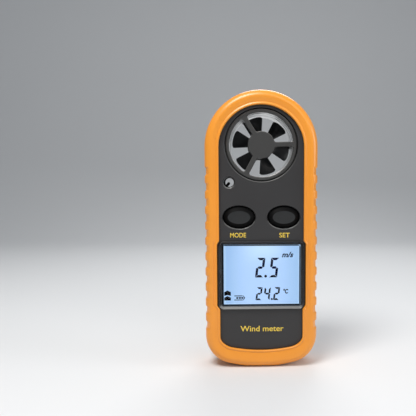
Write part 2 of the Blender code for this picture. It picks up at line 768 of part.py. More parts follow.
def main_board():
    """The circuit board. It stands clear of the case posts, and two screws hold it to the front case."""
    half = 17.4 * MM
    outline = [(x, z) for x, z in case_outline(-2.7 * MM) if z < 30 * MM]
    outline = sorted(outline, key=lambda p: p[0])
    top = [(half, 64.8 * MM), (12.0 * MM, 64.8 * MM), (12.0 * MM, 71.0 * MM)]
    outline += top + [(-x, z) for x, z in reversed(top)]
    obj = piece("main_board", plate(outline, BOARD_FRONT, BOARD_BACK), BOARD_GREEN)
    lower = [CASE_SCREWS["lower_left"], CASE_SCREWS["lower_right"]]
    cuts = [plate(circle(3.1 * MM, 16, at), -3 * MM, 3 * MM) for at in lower]
    cuts += [plate(circle(1.0 * MM, 12, (0, z)), -3 * MM, 3 * MM) for z in BOARD_SCREWS.values()]
    return combine(obj, "DIFFERENCE", cuts)


def board_components():
    dome = [(0, 0.95), (2.2, 0.75), (4.2, 0.1), (4.2, -0.1), (0, -0.1)]
    blob = turned([(r * MM, y * MM) for r, y in dome], 24)
    piece("driver_chip", blob, BLACK_PLASTIC, (0, 0, 52.5 * MM))
    can = moved(cylinder_x(1.0 * MM, -3.0 * MM, 3.0 * MM, 14), y=0.95 * MM)
    piece("quartz_crystal", can, STEEL, (9.5 * MM, 0, 50.0 * MM))
    brick = block((-1.6 * MM, -0.1 * MM, -0.8 * MM), (1.6 * MM, 1.1 * MM, 0.8 * MM))
    soften(piece("filter_capacitor", brick, BRASS, (-9.0 * MM, 0, 50.0 * MM)), 0.15 * MM)


def battery_parts():
    """The coin cell in its bay, the spring under its small pole and the clip at its rim."""
    cell = [
        (0, 1.9 * MM),
        (8.6 * MM, 1.9 * MM),
        (8.7 * MM, 2.3 * MM),
        (9.7 * MM, 2.4 * MM),
        (CELL_RADIUS, 2.8 * MM),
        (CELL_RADIUS, 4.9 * MM),
        (9.8 * MM, 5.1 * MM),
        (0, 5.1 * MM),
    ]
    piece("coin_cell", turned(cell, 36), STEEL, (0, 0, CELL_Z))
    leaf = [(0, 4.0), (0.2, 4.0), (0.2, -3.0), (1.4, 3.0), (1.4, 4.6)]
    leaf += [(1.6, 4.6), (1.6, 2.7), (0.6, -2.3), (0.6, -4.0), (0, -4.0)]
    spring = strip_of([(y - 0.1, z) for y, z in leaf], 1.2 * MM)
    piece("negative_contact", spring, STEEL, (0, 0, CELL_Z))
    clip = block((10.2 * MM, -0.1 * MM, -3.0 * MM), (10.4 * MM, 4.6 * MM, 3.0 * MM))
    piece("positive_contact", clip, STEEL, (0, 0, CELL_Z))


def strip_of(outline, half_width):
    """A strip across X whose side view is the outline, given in millimetres as (depth, height)."""
    bm = bmesh.new()
    left = [bm.verts.new((-half_width, y * MM, z * MM)) for y, z in outline]
    face = bm.faces.new(left)
    made = bmesh.ops.extrude_face_region(bm, geom=[face])
    right = [part for part in made["geom"] if isinstance(part, bmesh.types.BMVert)]
    bmesh.ops.translate(bm, verts=right, vec=(2 * half_width, 0, 0))
    bmesh.ops.recalc_face_normals(bm, faces=bm.faces)
    return bm


def battery_door():
    """The door over the coin cell. Two pins at its lower edge turn in pockets of the rear case."""
    panel = rounded_rectangle(
        DOOR_HALF_WIDTH, DOOR_LOW - DOOR_AXIS_Z, DOOR_HIGH - DOOR_AXIS_Z, 0.8 * MM, 2
    )
    front = 6.3 * MM - DOOR_AXIS_Y
    back = 7.2 * MM - DOOR_AXIS_Y
    slab = plate(panel, front, back)
    obj = piece("battery_door", slab, CHARCOAL, (0, DOOR_AXIS_Y, DOOR_AXIS_Z))
    reach = DOOR_HALF_WIDTH + 0.95 * MM
    pins = cylinder_x(PIN_RADIUS, -reach, reach, 10)
    notch = plate(ellipse(4.0 * MM, 1.3 * MM, 16), 0.1 * MM, 2.0 * MM)
    moved(notch, z=DOOR_HIGH - DOOR_AXIS_Z - 2.6 * MM)
    combine(obj, "UNION", [pins])
    combine(obj, "DIFFERENCE", [notch])
    return obj


# ---------------------------------------------------------------- screws


def screw(name, at, head_radius, shank_radius, head_back, head_front, tip):
    """A pan head screw along Y, driven from the back."""
    profile = [
        (0, head_back),
        (head_radius * 0.8, head_back),
        (head_radius, head_back - 0.35 * MM),
        (head_radius, head_front),
        (shank_radius, head_front),
        (shank_radius, tip + 0.5 * MM),
        (0, tip),
    ]
    piece(name, turned(profile, 16), STEEL, (at[0], 0, at[1]))


def screws():
    for name, at in CASE_SCREWS.items():
        screw("case_screw_" + name, at, 1.75 * MM, 0.8 * MM, 7.1 * MM, 5.9 * MM, -2.9 * MM)
    for name, z in BOARD_SCREWS.items():
        screw("board_screw_" + name, (0, z), 1.4 * MM, 0.6 * MM, 0.8 * MM, -0.1 * MM, -4.1 * MM)


# ---------------------------------------------------------------- assembly

protective_boot()
front_case()
rear_case()
grille("front_grille", -1)
hub_slot = sensor_slot(4.4 * MM, 6.0 * MM, 4.0 * MM, 5.6 * MM)
rim_slot = sensor_slot(13.0 * MM, 17.0 * MM, 4.0 * MM, 5.6 * MM)
combine(grille("rear_grille", 1), "DIFFERENCE", [hub_slot, rim_slot])
duct_liner()
impeller()
rotor_parts()
speed_sensor()
temperature_sensor()
display()
key("mode_key", -KEY_X)
key("set_key", KEY_X)
keypad_mat()
main_board()
board_components()
battery_parts()
battery_door()
screws()
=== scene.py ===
from math import acos, asin, atan2, cos, degrees, pi, radians, sin, sqrt

import bmesh
import bpy
from mathutils import Matrix, Vector


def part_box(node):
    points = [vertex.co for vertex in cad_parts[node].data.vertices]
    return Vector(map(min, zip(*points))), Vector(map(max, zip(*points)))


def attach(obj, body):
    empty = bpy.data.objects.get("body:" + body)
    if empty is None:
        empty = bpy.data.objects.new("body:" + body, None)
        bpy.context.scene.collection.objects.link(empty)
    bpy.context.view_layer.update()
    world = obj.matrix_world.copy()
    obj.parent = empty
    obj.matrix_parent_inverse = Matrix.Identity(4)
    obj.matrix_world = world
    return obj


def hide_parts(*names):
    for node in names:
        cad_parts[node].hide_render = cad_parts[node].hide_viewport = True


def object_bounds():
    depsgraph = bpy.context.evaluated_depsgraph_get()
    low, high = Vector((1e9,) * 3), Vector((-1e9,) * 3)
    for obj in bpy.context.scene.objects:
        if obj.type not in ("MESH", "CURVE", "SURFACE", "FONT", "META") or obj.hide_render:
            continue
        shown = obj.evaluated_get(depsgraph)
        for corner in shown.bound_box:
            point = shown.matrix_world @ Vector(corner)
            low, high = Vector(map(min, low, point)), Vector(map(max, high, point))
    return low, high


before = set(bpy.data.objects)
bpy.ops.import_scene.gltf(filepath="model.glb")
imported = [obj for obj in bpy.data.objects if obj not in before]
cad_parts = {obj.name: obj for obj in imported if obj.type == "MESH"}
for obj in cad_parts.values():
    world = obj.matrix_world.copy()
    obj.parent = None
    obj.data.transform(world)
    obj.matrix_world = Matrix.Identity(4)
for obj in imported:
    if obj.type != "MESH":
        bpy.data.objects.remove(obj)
cad_low, cad_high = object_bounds()


# ---- Camera ----------------------------------------------------------------------------------
# The meter is seen from just left of its middle and a little above the display, close up.
# The view is pushed sideways by the lens shift, so the meter stands right of the frame's centre.

MM = 0.001

camera_data = bpy.data.cameras.new("camera")
camera_data.sensor_width = 36.0
camera_data.lens = 43.64
camera_data.shift_x = -0.142
camera_data.shift_y = 0.041
camera_data.clip_start = 0.01
camera = bpy.data.objects.new("camera", camera_data)
camera.location = (-6.5 * MM, -207.5 * MM, 72.3 * MM)
camera.rotation_euler = (radians(90 - 4.2), 0, radians(-2.5))
bpy.context.scene.collection.objects.link(camera)
bpy.context.scene.camera = camera


# ---- Floor and light -------------------------------------------------------------------------
# A pale sheet that runs back along the floor and curves up behind the meter, under soft lamps.
# The main lamp is high and in front, weaker ones fill from the right and behind, and the room is pale.

bpy.context.scene.view_settings.view_transform = "Standard"


def new_material(name):
    """A material with nodes. Returns it with its node tree and its Principled shader."""
    made = bpy.data.materials.new(name)
    made.use_nodes = True
    return made, made.node_tree, made.node_tree.nodes["Principled BSDF"]


def add_mesh(name, bm, finish, smooth=30):
    """An object at the origin, unturned, from a mesh drawn in place."""
    mesh = bpy.data.meshes.new(name)
    bm.to_mesh(mesh)
    bm.free()
    mesh.materials.append(finish)
    mesh.shade_smooth()
    mesh.set_sharp_from_angle(angle=radians(smooth))
    obj = bpy.data.objects.new(name, mesh)
    bpy.context.scene.collection.objects.link(obj)
    return obj


sheet_half_width = 3.0
sheet_front = -3.0
sheet_bend = 0.45
sheet_bend_radius = 0.35
sheet_top = 1.5
side_view = [(sheet_front, 0.0), (sheet_bend, 0.0)]
for step in range(1, 17):
    turn = pi / 2 * step / 16
    side_view.append((sheet_bend + sheet_bend_radius * sin(turn), sheet_bend_radius * (1 - cos(turn))))
side_view.append((sheet_bend + sheet_bend_radius, sheet_top))
pale_paper, _, paper_shader = new_material("pale_paper")
paper_shader.inputs["Base Color"].default_value = (0.74, 0.75, 0.76, 1)
paper_shader.inputs["Roughness"].default_value = 0.8
backdrop_mesh = bmesh.new()
left = [backdrop_mesh.verts.new((-sheet_half_width, y, cad_low.z + z)) for y, z in side_view]
right = [backdrop_mesh.verts.new((sheet_half_width, y, cad_low.z + z)) for y, z in side_view]
for i in range(len(side_view) - 1):
    backdrop_mesh.faces.new((left[i], right[i], right[i + 1], left[i + 1]))
backdrop = add_mesh("backdrop", backdrop_mesh, pale_paper)

aim = Vector((0, 0, 0.06))
for lamp_name, place, width, watts, tint in (
    ("main_lamp", (-0.12, -0.20, 0.44), 0.20, 1.7, (1.0, 0.985, 0.96)),
    ("fill_lamp", (0.20, -0.36, 0.36), 0.30, 0.40, (1.0, 1.0, 1.0)),
    ("side_lamp", (0.40, -0.10, 0.18), 0.20, 0.5, (0.95, 0.97, 1.0)),
    ("back_lamp", (0.05, 0.36, 0.42), 0.30, 0.9, (1.0, 1.0, 1.0)),
):
    lamp_data = bpy.data.lights.new(lamp_name, "AREA")
    lamp_data.shape = "DISK"
    lamp_data.size = width
    lamp_data.energy = watts
    lamp_data.color = tint
    lamp = bpy.data.objects.new(lamp_name, lamp_data)
    lamp.location = place
    lamp.rotation_euler = (aim - Vector(place)).to_track_quat("-Z", "Y").to_euler()
    bpy.context.scene.collection.objects.link(lamp)

room = bpy.data.worlds.new("room")
room.use_nodes = True
room.node_tree.nodes["Background"].inputs["Color"].default_value = (0.86, 0.90, 0.95, 1)
room.node_tree.nodes["Background"].inputs["Strength"].default_value = 0.30
bpy.context.scene.world = room


# ---- Shared surface effects ------------------------------------------------------------------
# Moulded parts carry the grain of the tool they were made in, and hands polish the open edges, which also
# carry a painted highlight.
# Each effect is one node group, placed in the materials below with its own values.


def new_group(name, inputs, outputs):
    """An empty shader group with its sockets, and the two nodes that carry them."""
    group = bpy.data.node_groups.new(name, "ShaderNodeTree")
    for socket_name, kind, value in inputs:
        socket = group.interface.new_socket(name=socket_name, in_out="INPUT", socket_type=kind)
        socket.default_value = value
    for socket_name, kind in outputs:
        group.interface.new_socket(name=socket_name, in_out="OUTPUT", socket_type=kind)
    return group, group.nodes.new("NodeGroupInput"), group.nodes.new("NodeGroupOutput")


def feed(tree, socket, value):
    """Gives a socket its value: a number, a colour or another node's output."""
    if isinstance(value, (int, float)):
        socket.default_value = value
    elif isinstance(value, tuple):
        socket.default_value = (*value, 1)
    else:
        tree.links.new(value, socket)


def math_node(tree, operation, first, second=None, third=None, clamp=False):
    """A Math node fed by sockets or plain numbers. Returns its output."""
    node = tree.nodes.new("ShaderNodeMath")
    node.operation = operation
    node.use_clamp = clamp
    for socket, value in zip(node.inputs, (first, second, third)):
        if value is not None:
            feed(tree, socket, value)
    return node.outputs[0]


def noise_node(tree, coordinates, scale, detail=2.0):
    """A Noise Texture in object space. Returns its value, near a half on average."""
    node = tree.nodes.new("ShaderNodeTexNoise")
    node.inputs["Detail"].default_value = detail
    tree.links.new(coordinates, node.inputs["Vector"])
    feed(tree, node.inputs["Scale"], scale)
    return node.outputs["Fac"]


def blend_colours(tree, share, first, second):
    """A Mix node for two colours, given as sockets or as plain colours. Returns its output."""
    node = tree.nodes.new("ShaderNodeMix")
    node.data_type = "RGBA"
    colour_a = [s for s in node.inputs if s.name == "A" and s.type == "RGBA"][0]
    colour_b = [s for s in node.inputs if s.name == "B" and s.type == "RGBA"][0]
    factor = [s for s in node.inputs if s.name == "Factor" and s.type == "VALUE"][0]
    for socket, value in ((factor, share), (colour_a, first), (colour_b, second)):
        feed(tree, socket, value)
    return [s for s in node.outputs if s.type == "RGBA"][0]


def object_axes(tree):
    """Object coordinates, whole and as separate X, Y and Z."""
    place = tree.nodes.new("ShaderNodeTexCoord").outputs["Object"]
    split = tree.nodes.new("ShaderNodeSeparateXYZ")
    tree.links.new(place, split.inputs[0])
    return place, split.outputs


def paint_over(finish, share, colour):
    """Lays a colour over the finish's own, as far as the share says at each point."""
    tree = finish.node_tree
    base = tree.nodes["Principled BSDF"].inputs["Base Color"]
    tree.links.new(blend_colours(tree, share, base.links[0].from_socket, colour), base)


def add_relief(tree, shader, height, strength, distance):
    """A fine relief on the surface, from a height between 0 and 1 and the depth it stands for."""
    relief = tree.nodes.new("ShaderNodeBump")
    relief.inputs["Strength"].default_value = strength
    relief.inputs["Distance"].default_value = distance
    tree.links.new(height, relief.inputs["Height"])
    tree.links.new(relief.outputs["Normal"], shader.inputs["Normal"])


moulded_grain, grain_in, grain_out = new_group(
    "moulded_grain",
    (
        ("Vector", "NodeSocketVector", (0, 0, 0)),
        ("Grain Scale", "NodeSocketFloat", 3000.0),
        ("Mottle Scale", "NodeSocketFloat", 90.0),
        ("Roughness", "NodeSocketFloat", 0.5),
        ("Roughness Spread", "NodeSocketFloat", 0.12),
    ),
    (("Height", "NodeSocketFloat"), ("Roughness", "NodeSocketFloat"), ("Mottle", "NodeSocketFloat")),
)
fine = noise_node(moulded_grain, grain_in.outputs["Vector"], grain_in.outputs["Grain Scale"], 3.0)
broad = noise_node(moulded_grain, grain_in.outputs["Vector"], grain_in.outputs["Mottle Scale"], 4.0)
centred = math_node(moulded_grain, "SUBTRACT", broad, 0.5)
spread = math_node(moulded_grain, "MULTIPLY", centred, grain_in.outputs["Roughness Spread"])
rough = math_node(moulded_grain, "ADD", spread, grain_in.outputs["Roughness"], clamp=True)
moulded_grain.links.new(fine, grain_out.inputs["Height"])
moulded_grain.links.new(rough, grain_out.inputs["Roughness"])
moulded_grain.links.new(broad, grain_out.inputs["Mottle"])


def moulded_material(
    name, colour, other_colour, roughness, grain=3000.0, bump=0.06, spread=0.12, mottle=90.0
):
    """A moulded plastic or rubber: colour with a faint mottle, tool grain, and uneven polish."""
    made, tree, shader = new_material(name)
    surface = tree.nodes.new("ShaderNodeGroup")
    surface.node_tree = moulded_grain
    tree.links.new(tree.nodes.new("ShaderNodeTexCoord").outputs["Object"], surface.inputs["Vector"])
    surface.inputs["Grain Scale"].default_value = grain
    surface.inputs["Mottle Scale"].default_value = mottle
    surface.inputs["Roughness"].default_value = roughness
    surface.inputs["Roughness Spread"].default_value = spread
    mottled = blend_colours(tree, surface.outputs["Mottle"], colour, other_colour)
    tree.links.new(mottled, shader.inputs["Base Color"])
    tree.links.new(surface.outputs["Roughness"], shader.inputs["Roughness"])
    add_relief(tree, shader, surface.outputs["Height"], bump, 0.1 * MM)
    return made


def ramp_between(tree, value, low, high):
    """A smooth rise from 0 at the low value to 1 at the high one, given as sockets or numbers."""
    node = tree.nodes.new("ShaderNodeMapRange")
    node.interpolation_type = "SMOOTHSTEP"
    for socket_name, limit in (("Value", value), ("From Min", low), ("From Max", high)):
        feed(tree, node.inputs[socket_name], limit)
    return node.outputs["Result"]


# The mask of the edge bands, used both for polish of the roughness and for a painted highlight.
edge_polish_and_highlight, band_in, band_out = new_group(
    "edge_polish_and_highlight",
    (
        ("Vector", "NodeSocketVector", (0, 0, 0)),
        ("Start", "NodeSocketFloat", 0.007),
        ("Full", "NodeSocketFloat", 0.0072),
        ("Fall", "NodeSocketFloat", 0.0074),
        ("End", "NodeSocketFloat", 0.0075),
        ("Floor", "NodeSocketFloat", -1.0),
        ("Ceiling", "NodeSocketFloat", 1.0),
    ),
    (("Mask", "NodeSocketFloat"),),
)
band_split = edge_polish_and_highlight.nodes.new("ShaderNodeSeparateXYZ")
edge_polish_and_highlight.links.new(band_in.outputs["Vector"], band_split.inputs[0])
band_depth = math_node(edge_polish_and_highlight, "ABSOLUTE", band_split.outputs["Y"])
band_rise = ramp_between(edge_polish_and_highlight, band_depth, band_in.outputs["Start"], band_in.outputs["Full"])
band_fall = ramp_between(edge_polish_and_highlight, band_depth, band_in.outputs["Fall"], band_in.outputs["End"])
band_left = math_node(edge_polish_and_highlight, "SUBTRACT", 1.0, band_fall)
polish_and_highlight_mask = math_node(edge_polish_and_highlight, "MULTIPLY", band_rise, band_left)
below_ceiling = math_node(edge_polish_and_highlight, "LESS_THAN", band_split.outputs["Z"], band_in.outputs["Ceiling"])
above_floor = math_node(edge_polish_and_highlight, "GREATER_THAN", band_split.outputs["Z"], band_in.outputs["Floor"])
polish_and_highlight_mask = math_node(edge_polish_and_highlight, "MULTIPLY", polish_and_highlight_mask, below_ceiling)
polish_and_highlight_mask = math_node(edge_polish_and_highlight, "MULTIPLY", polish_and_highlight_mask, above_floor)
edge_polish_and_highlight.links.new(polish_and_highlight_mask, band_out.inputs["Mask"])


def polish_edges_and_paint_highlight(finish, bands, edge_highlight_colour, worn_roughness):
    """Lightens and smooths a moulded finish between depths, at its open edges: hands polish them smooth, and
    the lightening is a painted highlight.

    Each band is (start, full, fall, end) in distance from the parting plane, and the heights
    between which it runs. The painted highlight is strongest on edges that face up, where the lamp above
    lights them."""
    tree = finish.node_tree
    shader = tree.nodes["Principled BSDF"]
    place = tree.nodes.new("ShaderNodeTexCoord").outputs["Object"]
    total = None
    for limits, floor, ceiling in bands:
        band = tree.nodes.new("ShaderNodeGroup")
        band.node_tree = edge_polish_and_highlight
        tree.links.new(place, band.inputs["Vector"])
        for socket, value in zip(("Start", "Full", "Fall", "End"), limits):
            band.inputs[socket].default_value = value * MM
        band.inputs["Floor"].default_value = floor * MM
        band.inputs["Ceiling"].default_value = ceiling * MM
        share = band.outputs["Mask"]
        total = share if total is None else math_node(tree, "MAXIMUM", total, share)
    # Painted highlight: the lightening is strongest where the edges face up towards the lamp above.
    facing = tree.nodes.new("ShaderNodeSeparateXYZ")
    tree.links.new(tree.nodes.new("ShaderNodeTexCoord").outputs["Normal"], facing.inputs[0])
    up_facing_highlight = math_node(tree, "MAXIMUM", ramp_between(tree, facing.outputs["Z"], 0.1, 0.75), 0.015)
    paint_over(finish, math_node(tree, "MULTIPLY", total, up_facing_highlight), edge_highlight_colour)
    rough = shader.inputs["Roughness"].links[0].from_socket
    drop = math_node(tree, "MULTIPLY", total, math_node(tree, "SUBTRACT", rough, worn_roughness))
    tree.links.new(math_node(tree, "SUBTRACT", rough, drop), shader.inputs["Roughness"])
    relief_height = shader.inputs["Normal"].links[0].from_node.inputs["Height"]
    grain_left = math_node(tree, "SUBTRACT", 1.0, total)
    tree.links.new(math_node(tree, "MULTIPLY", relief_height.links[0].from_socket, grain_left), relief_height)


# ---- Rubber cover ----------------------------------------------------------------------------
# One soft moulding in orange rubber, stretched over the case so that its lips hold both faces.
# Its front lip has a raised edge with a shallow valley outside it, and ribs line its two sides.

_, cover_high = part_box("protective_boot")
case_low, case_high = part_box("front_case")
rear_low, rear_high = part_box("rear_case")
case_half_width = case_high.x
case_bottom = case_low.z
head_z = case_high.z - case_half_width
corner_radius = 9.5 * MM
base_radius = 62.0 * MM
face_y = -rear_high.y


def outline_path(head_steps, side_levels, corner_steps, base_steps):
    """Points and outward normals of the right half of the case outline, from the top to the bottom."""
    corner_x = case_half_width - corner_radius
    base_z = case_bottom + base_radius
    reach = base_radius - corner_radius
    corner_z = base_z - sqrt(reach**2 - corner_x**2)
    corner_end = -acos(corner_x / reach)
    path = []
    for i in range(head_steps + 1):
        angle = pi / 2 * (1 - i / head_steps)
        path.append((0.0, head_z, case_half_width, angle))
    for z in side_levels:
        path.append((0.0, z, case_half_width, 0.0))
    for i in range(corner_steps + 1):
        path.append((corner_x, corner_z, corner_radius, corner_end * i / corner_steps))
    for i in range(1, base_steps + 1):
        path.append((0.0, base_z, base_radius, corner_end + (-pi / 2 - corner_end) * i / base_steps))
    return [
        ((x + radius * cos(angle), z + radius * sin(angle)), (cos(angle), sin(angle)))
        for x, z, radius, angle in path
    ]


def between(z, steps):
    """The value at a height, on smooth runs between (height, value) steps from the lowest up."""
    if z <= steps[0][0]:
        return steps[0][1]
    for (low, at_low), (high, at_high) in zip(steps, steps[1:]):
        if z <= high:
            share = (z - low) / (high - low)
            return at_low + (at_high - at_low) * share * share * (3 - 2 * share)
    return steps[-1][1]


def smooth_through(points, steps):
    """A smooth open line through the points, with the given number of steps on each run."""
    line = []
    for i in range(len(points) - 1):
        before = Vector(points[max(i - 1, 0)])
        start = Vector(points[i])
        end = Vector(points[i + 1])
        after = Vector(points[min(i + 2, len(points) - 1)])
        for k in range(steps):
            t = k / steps
            line.append(
                0.5
                * (
                    2 * start
                    + (end - before) * t
                    + (2 * before - 5 * start + 4 * end - after) * t * t
                    + (3 * start - before - 3 * end + after) * t**3
                )
            )
    line.append(Vector(points[-1]))
    return line


bezel_low = 23.75 * MM
bezel_high = 51.2 * MM


def lip_reach(z, beside_bezel):
    """How far a lip reaches in over the case. The front lip steps out to clear the display bezel."""
    return between(
        z,
        (
            (case_bottom, 4.75 * MM),
            (case_bottom + corner_radius, 3.6 * MM),
            (bezel_low - 0.35 * MM, 3.6 * MM),
            (bezel_low + 1.9 * MM, beside_bezel),
            (bezel_high - 1.4 * MM, beside_bezel),
            (bezel_high + 0.3 * MM, 3.3 * MM),
            (head_z, 3.3 * MM),
            (case_high.z, 3.7 * MM),
        ),
    )


cover_wall = cover_high.x - case_half_width
cover_depth = cover_high.y
lip_gap = 0.3 * MM
under_lip = -face_y + lip_gap


def wall_at(normal):
    """The cover's wall. Below the base it thickens to a flat foot between two straight runs."""
    tilt = atan2(normal[0], -normal[1])
    corner = asin((case_half_width - corner_radius) / (base_radius - corner_radius))
    if tilt >= corner:
        return cover_wall
    return (cover_wall + base_radius) / cos(min(tilt, corner - tilt)) - base_radius


def cover_section(front, back, wall):
    """The cover's cross section as (outward offset, depth) points, from the front lip round the outside."""
    front_lip = [
        (-front + 0.10 * MM, -under_lip - 0.06 * MM),
        (-front, -under_lip - 0.30 * MM),
        (-front + 0.01 * MM, -under_lip - 0.72 * MM),
        (-front + 0.16 * MM, -under_lip - 1.05 * MM),
        (-front + 0.42 * MM, -under_lip - 1.17 * MM),
        (-front + 0.74 * MM, -under_lip - 1.05 * MM),
        (-front + 1.05 * MM, -under_lip - 0.90 * MM),
        (-front + 1.40 * MM, -under_lip - 0.96 * MM),
    ]
    outside = [
        (-0.55 * MM, -cover_depth),
        (0.35 * MM, -cover_depth + 0.16 * MM),
        (1.10 * MM, -cover_depth + 0.62 * MM),
        (1.75 * MM, -cover_depth + 1.35 * MM),
        (wall - 0.22 * MM, -cover_depth + 2.30 * MM),
        (wall - 0.03 * MM, -cover_depth + 3.40 * MM),
        (wall, -cover_depth + 4.80 * MM),
        (wall, cover_depth - 4.80 * MM),
        (wall - 0.03 * MM, cover_depth - 3.40 * MM),
        (wall - 0.22 * MM, cover_depth - 2.30 * MM),
        (1.70 * MM, cover_depth - 1.30 * MM),
        (1.00 * MM, cover_depth - 0.55 * MM),
        (0.20 * MM, cover_depth - 0.12 * MM),
        (-0.50 * MM, cover_depth),
    ]
    back_lip = [
        (-back + 0.80 * MM, cover_depth),
        (-back + 0.25 * MM, cover_depth - 0.07 * MM),
        (-back, cover_depth - 0.35 * MM),
        (-back, under_lip + 0.25 * MM),
        (-back + 0.10 * MM, under_lip + 0.05 * MM),
    ]
    line = smooth_through(front_lip + outside, 3)
    line += smooth_through(outside[-1:] + back_lip, 3)[1:]
    line = [Vector((min(out, wall), max(min(y, cover_depth), -cover_depth))) for out, y in line]
    inside = [(-back + 0.35 * MM, under_lip), (lip_gap, under_lip), (lip_gap, -under_lip)]
    return line + [Vector(p) for p in inside] + [Vector((-front + 0.35 * MM, -under_lip))]


cover_levels = [head_z - 0.3 * MM * i for i in range(1, 250) if head_z - 0.3 * MM * i > 13.2 * MM]
cover_rows = []
for point, normal in outline_path(40, cover_levels, 16, 12):
    section = cover_section(lip_reach(point[1], 2.45 * MM), lip_reach(point[1], 3.45 * MM), wall_at(normal))
    row = []
    for out, y in section:
        worn = min(max((out - 0.5 * MM) / (1.0 * MM), 0.0), 1.0)
        row.append((point[0] + normal[0] * out, y, point[1] + normal[1] * out, worn))
    cover_rows.append(row)
for end in (0, -1):
    cover_rows[end] = [(0.0, y, z, worn) for _, y, z, worn in cover_rows[end]]
cover_rows += [[(-x, y, z, worn) for x, y, z, worn in row] for row in cover_rows[-2:0:-1]]

cover_mesh = bmesh.new()
grip_layer = cover_mesh.verts.layers.float.new("grip")
cover_verts = []
for row in cover_rows:
    ring = []
    for x, y, z, worn in row:
        vert = cover_mesh.verts.new((x, y, z))
        vert[grip_layer] = worn
        ring.append(vert)
    cover_verts.append(ring)
for i, ring in enumerate(cover_verts):
    following = cover_verts[(i + 1) % len(cover_verts)]
    for j in range(len(ring)):
        k = (j + 1) % len(ring)
        cover_mesh.faces.new((ring[j], ring[k], following[k], following[j]))
bmesh.ops.recalc_face_normals(cover_mesh, faces=cover_mesh.faces)

orange_rubber = moulded_material(
    "orange_rubber", (0.82, 0.285, 0.019), (0.90, 0.330, 0.027), 0.34, grain=2600.0, bump=0.05, mottle=60.0
)
orange_rubber.node_tree.nodes["Principled BSDF"].inputs["Specular IOR Level"].default_value = 0.65
rubber_cover = add_mesh("rubber_cover", cover_mesh, orange_rubber, smooth=60)


def geometry_tree(name, inputs):
    """An empty Geometry Nodes tree with a Geometry input, the named inputs and a Geometry output."""
    tree = bpy.data.node_groups.new(name, "GeometryNodeTree")
    tree.interface.new_socket(name="Geometry", in_out="INPUT", socket_type="NodeSocketGeometry")
    for socket_name, kind, value in inputs:
        socket = tree.interface.new_socket(name=socket_name, in_out="INPUT", socket_type=kind)
        if value is not None:
            socket.default_value = value
    tree.interface.new_socket(name="Geometry", in_out="OUTPUT", socket_type="NodeSocketGeometry")
    return tree, tree.nodes.new("NodeGroupInput"), tree.nodes.new("NodeGroupOutput")


def realized_and_painted(tree, geometry, finish, output):
    """Ends a tree: copies are made real and the finish is set."""
    realize = tree.nodes.new("GeometryNodeRealizeInstances")
    paint = tree.nodes.new("GeometryNodeSetMaterial")
    tree.links.new(geometry, realize.inputs[0])
    tree.links.new(realize.outputs[0], paint.inputs["Geometry"])
    tree.links.new(finish, paint.inputs["Material"])
    tree.links.new(paint.outputs[0], output.inputs["Geometry"])


def applied(obj):
    """The object with its modifiers made part of a plain mesh."""
    bpy.context.view_layer.update()
    graph = bpy.context.evaluated_depsgraph_get()
    mesh = bpy.data.meshes.new_from_object(obj.evaluated_get(graph))
    obj.modifiers.clear()
    obj.data = mesh
    return obj


def grown(obj, tree, values):
    """The object with the tree applied as a plain mesh. Values are set by the sockets' identifiers."""
    modifier = obj.modifiers.new(tree.name, "NODES")
    modifier.node_group = tree
    for item in tree.interface.items_tree:
        if item.item_type == "SOCKET" and item.in_out == "INPUT" and item.name in values:
            modifier[item.identifier] = values[item.name]
    return applied(obj)


side_ribs, rib_in, rib_out = geometry_tree(
    "side_ribs",
    (
        ("Lowest Notch", "NodeSocketFloat", 0.017),
        ("Pitch", "NodeSocketFloat", 0.006),
        ("Last Notch", "NodeSocketFloat", 10.0),
        ("Notch Half Height", "NodeSocketFloat", 0.0016),
        ("Flank", "NodeSocketFloat", 0.0005),
        ("Depth", "NodeSocketFloat", 0.0005),
        ("Finish", "NodeSocketMaterial", None),
    ),
)
position = side_ribs.nodes.new("GeometryNodeInputPosition")
split = side_ribs.nodes.new("ShaderNodeSeparateXYZ")
side_ribs.links.new(position.outputs[0], split.inputs[0])
rib_values = rib_in.outputs
from_lowest = math_node(side_ribs, "SUBTRACT", split.outputs["Z"], rib_values["Lowest Notch"])
in_pitches = math_node(side_ribs, "DIVIDE", from_lowest, rib_values["Pitch"])
nearest = math_node(side_ribs, "ROUND", in_pitches)
nearest = math_node(side_ribs, "MAXIMUM", nearest, 0.0)
nearest = math_node(side_ribs, "MINIMUM", nearest, rib_values["Last Notch"])
off_centre = math_node(side_ribs, "ABSOLUTE", math_node(side_ribs, "SUBTRACT", in_pitches, nearest))
off_centre = math_node(side_ribs, "MULTIPLY", off_centre, rib_values["Pitch"])
flank_start = math_node(side_ribs, "SUBTRACT", rib_values["Notch Half Height"], rib_values["Flank"])
beside_notch = ramp_between(side_ribs, off_centre, flank_start, rib_values["Notch Half Height"])
in_notch = math_node(side_ribs, "SUBTRACT", 1.0, beside_notch)
grip = side_ribs.nodes.new("GeometryNodeInputNamedAttribute")
grip.data_type = "FLOAT"
grip.inputs["Name"].default_value = "grip"
push = math_node(side_ribs, "MULTIPLY", in_notch, grip.outputs["Attribute"])
push = math_node(side_ribs, "MULTIPLY", push, rib_values["Depth"])
inwards = math_node(side_ribs, "MULTIPLY", math_node(side_ribs, "SIGN", split.outputs["X"]), -1.0)
push = math_node(side_ribs, "MULTIPLY", push, inwards)
offset = side_ribs.nodes.new("ShaderNodeCombineXYZ")
side_ribs.links.new(push, offset.inputs["X"])
place_points = side_ribs.nodes.new("GeometryNodeSetPosition")
side_ribs.links.new(rib_in.outputs["Geometry"], place_points.inputs["Geometry"])
side_ribs.links.new(offset.outputs[0], place_points.inputs["Offset"])
realized_and_painted(side_ribs, place_points.outputs[0], rib_values["Finish"], rib_out)

grown(
    rubber_cover,
    side_ribs,
    {
        "Lowest Notch": 17.33 * MM,
        "Pitch": 6.15 * MM,
        "Last Notch": 10.0,
        "Notch Half Height": 1.85 * MM,
        "Flank": 0.75 * MM,
        "Depth": 0.5 * MM,
        "Finish": orange_rubber,
    },
)
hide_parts("protective_boot")
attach(rubber_cover, "housing")
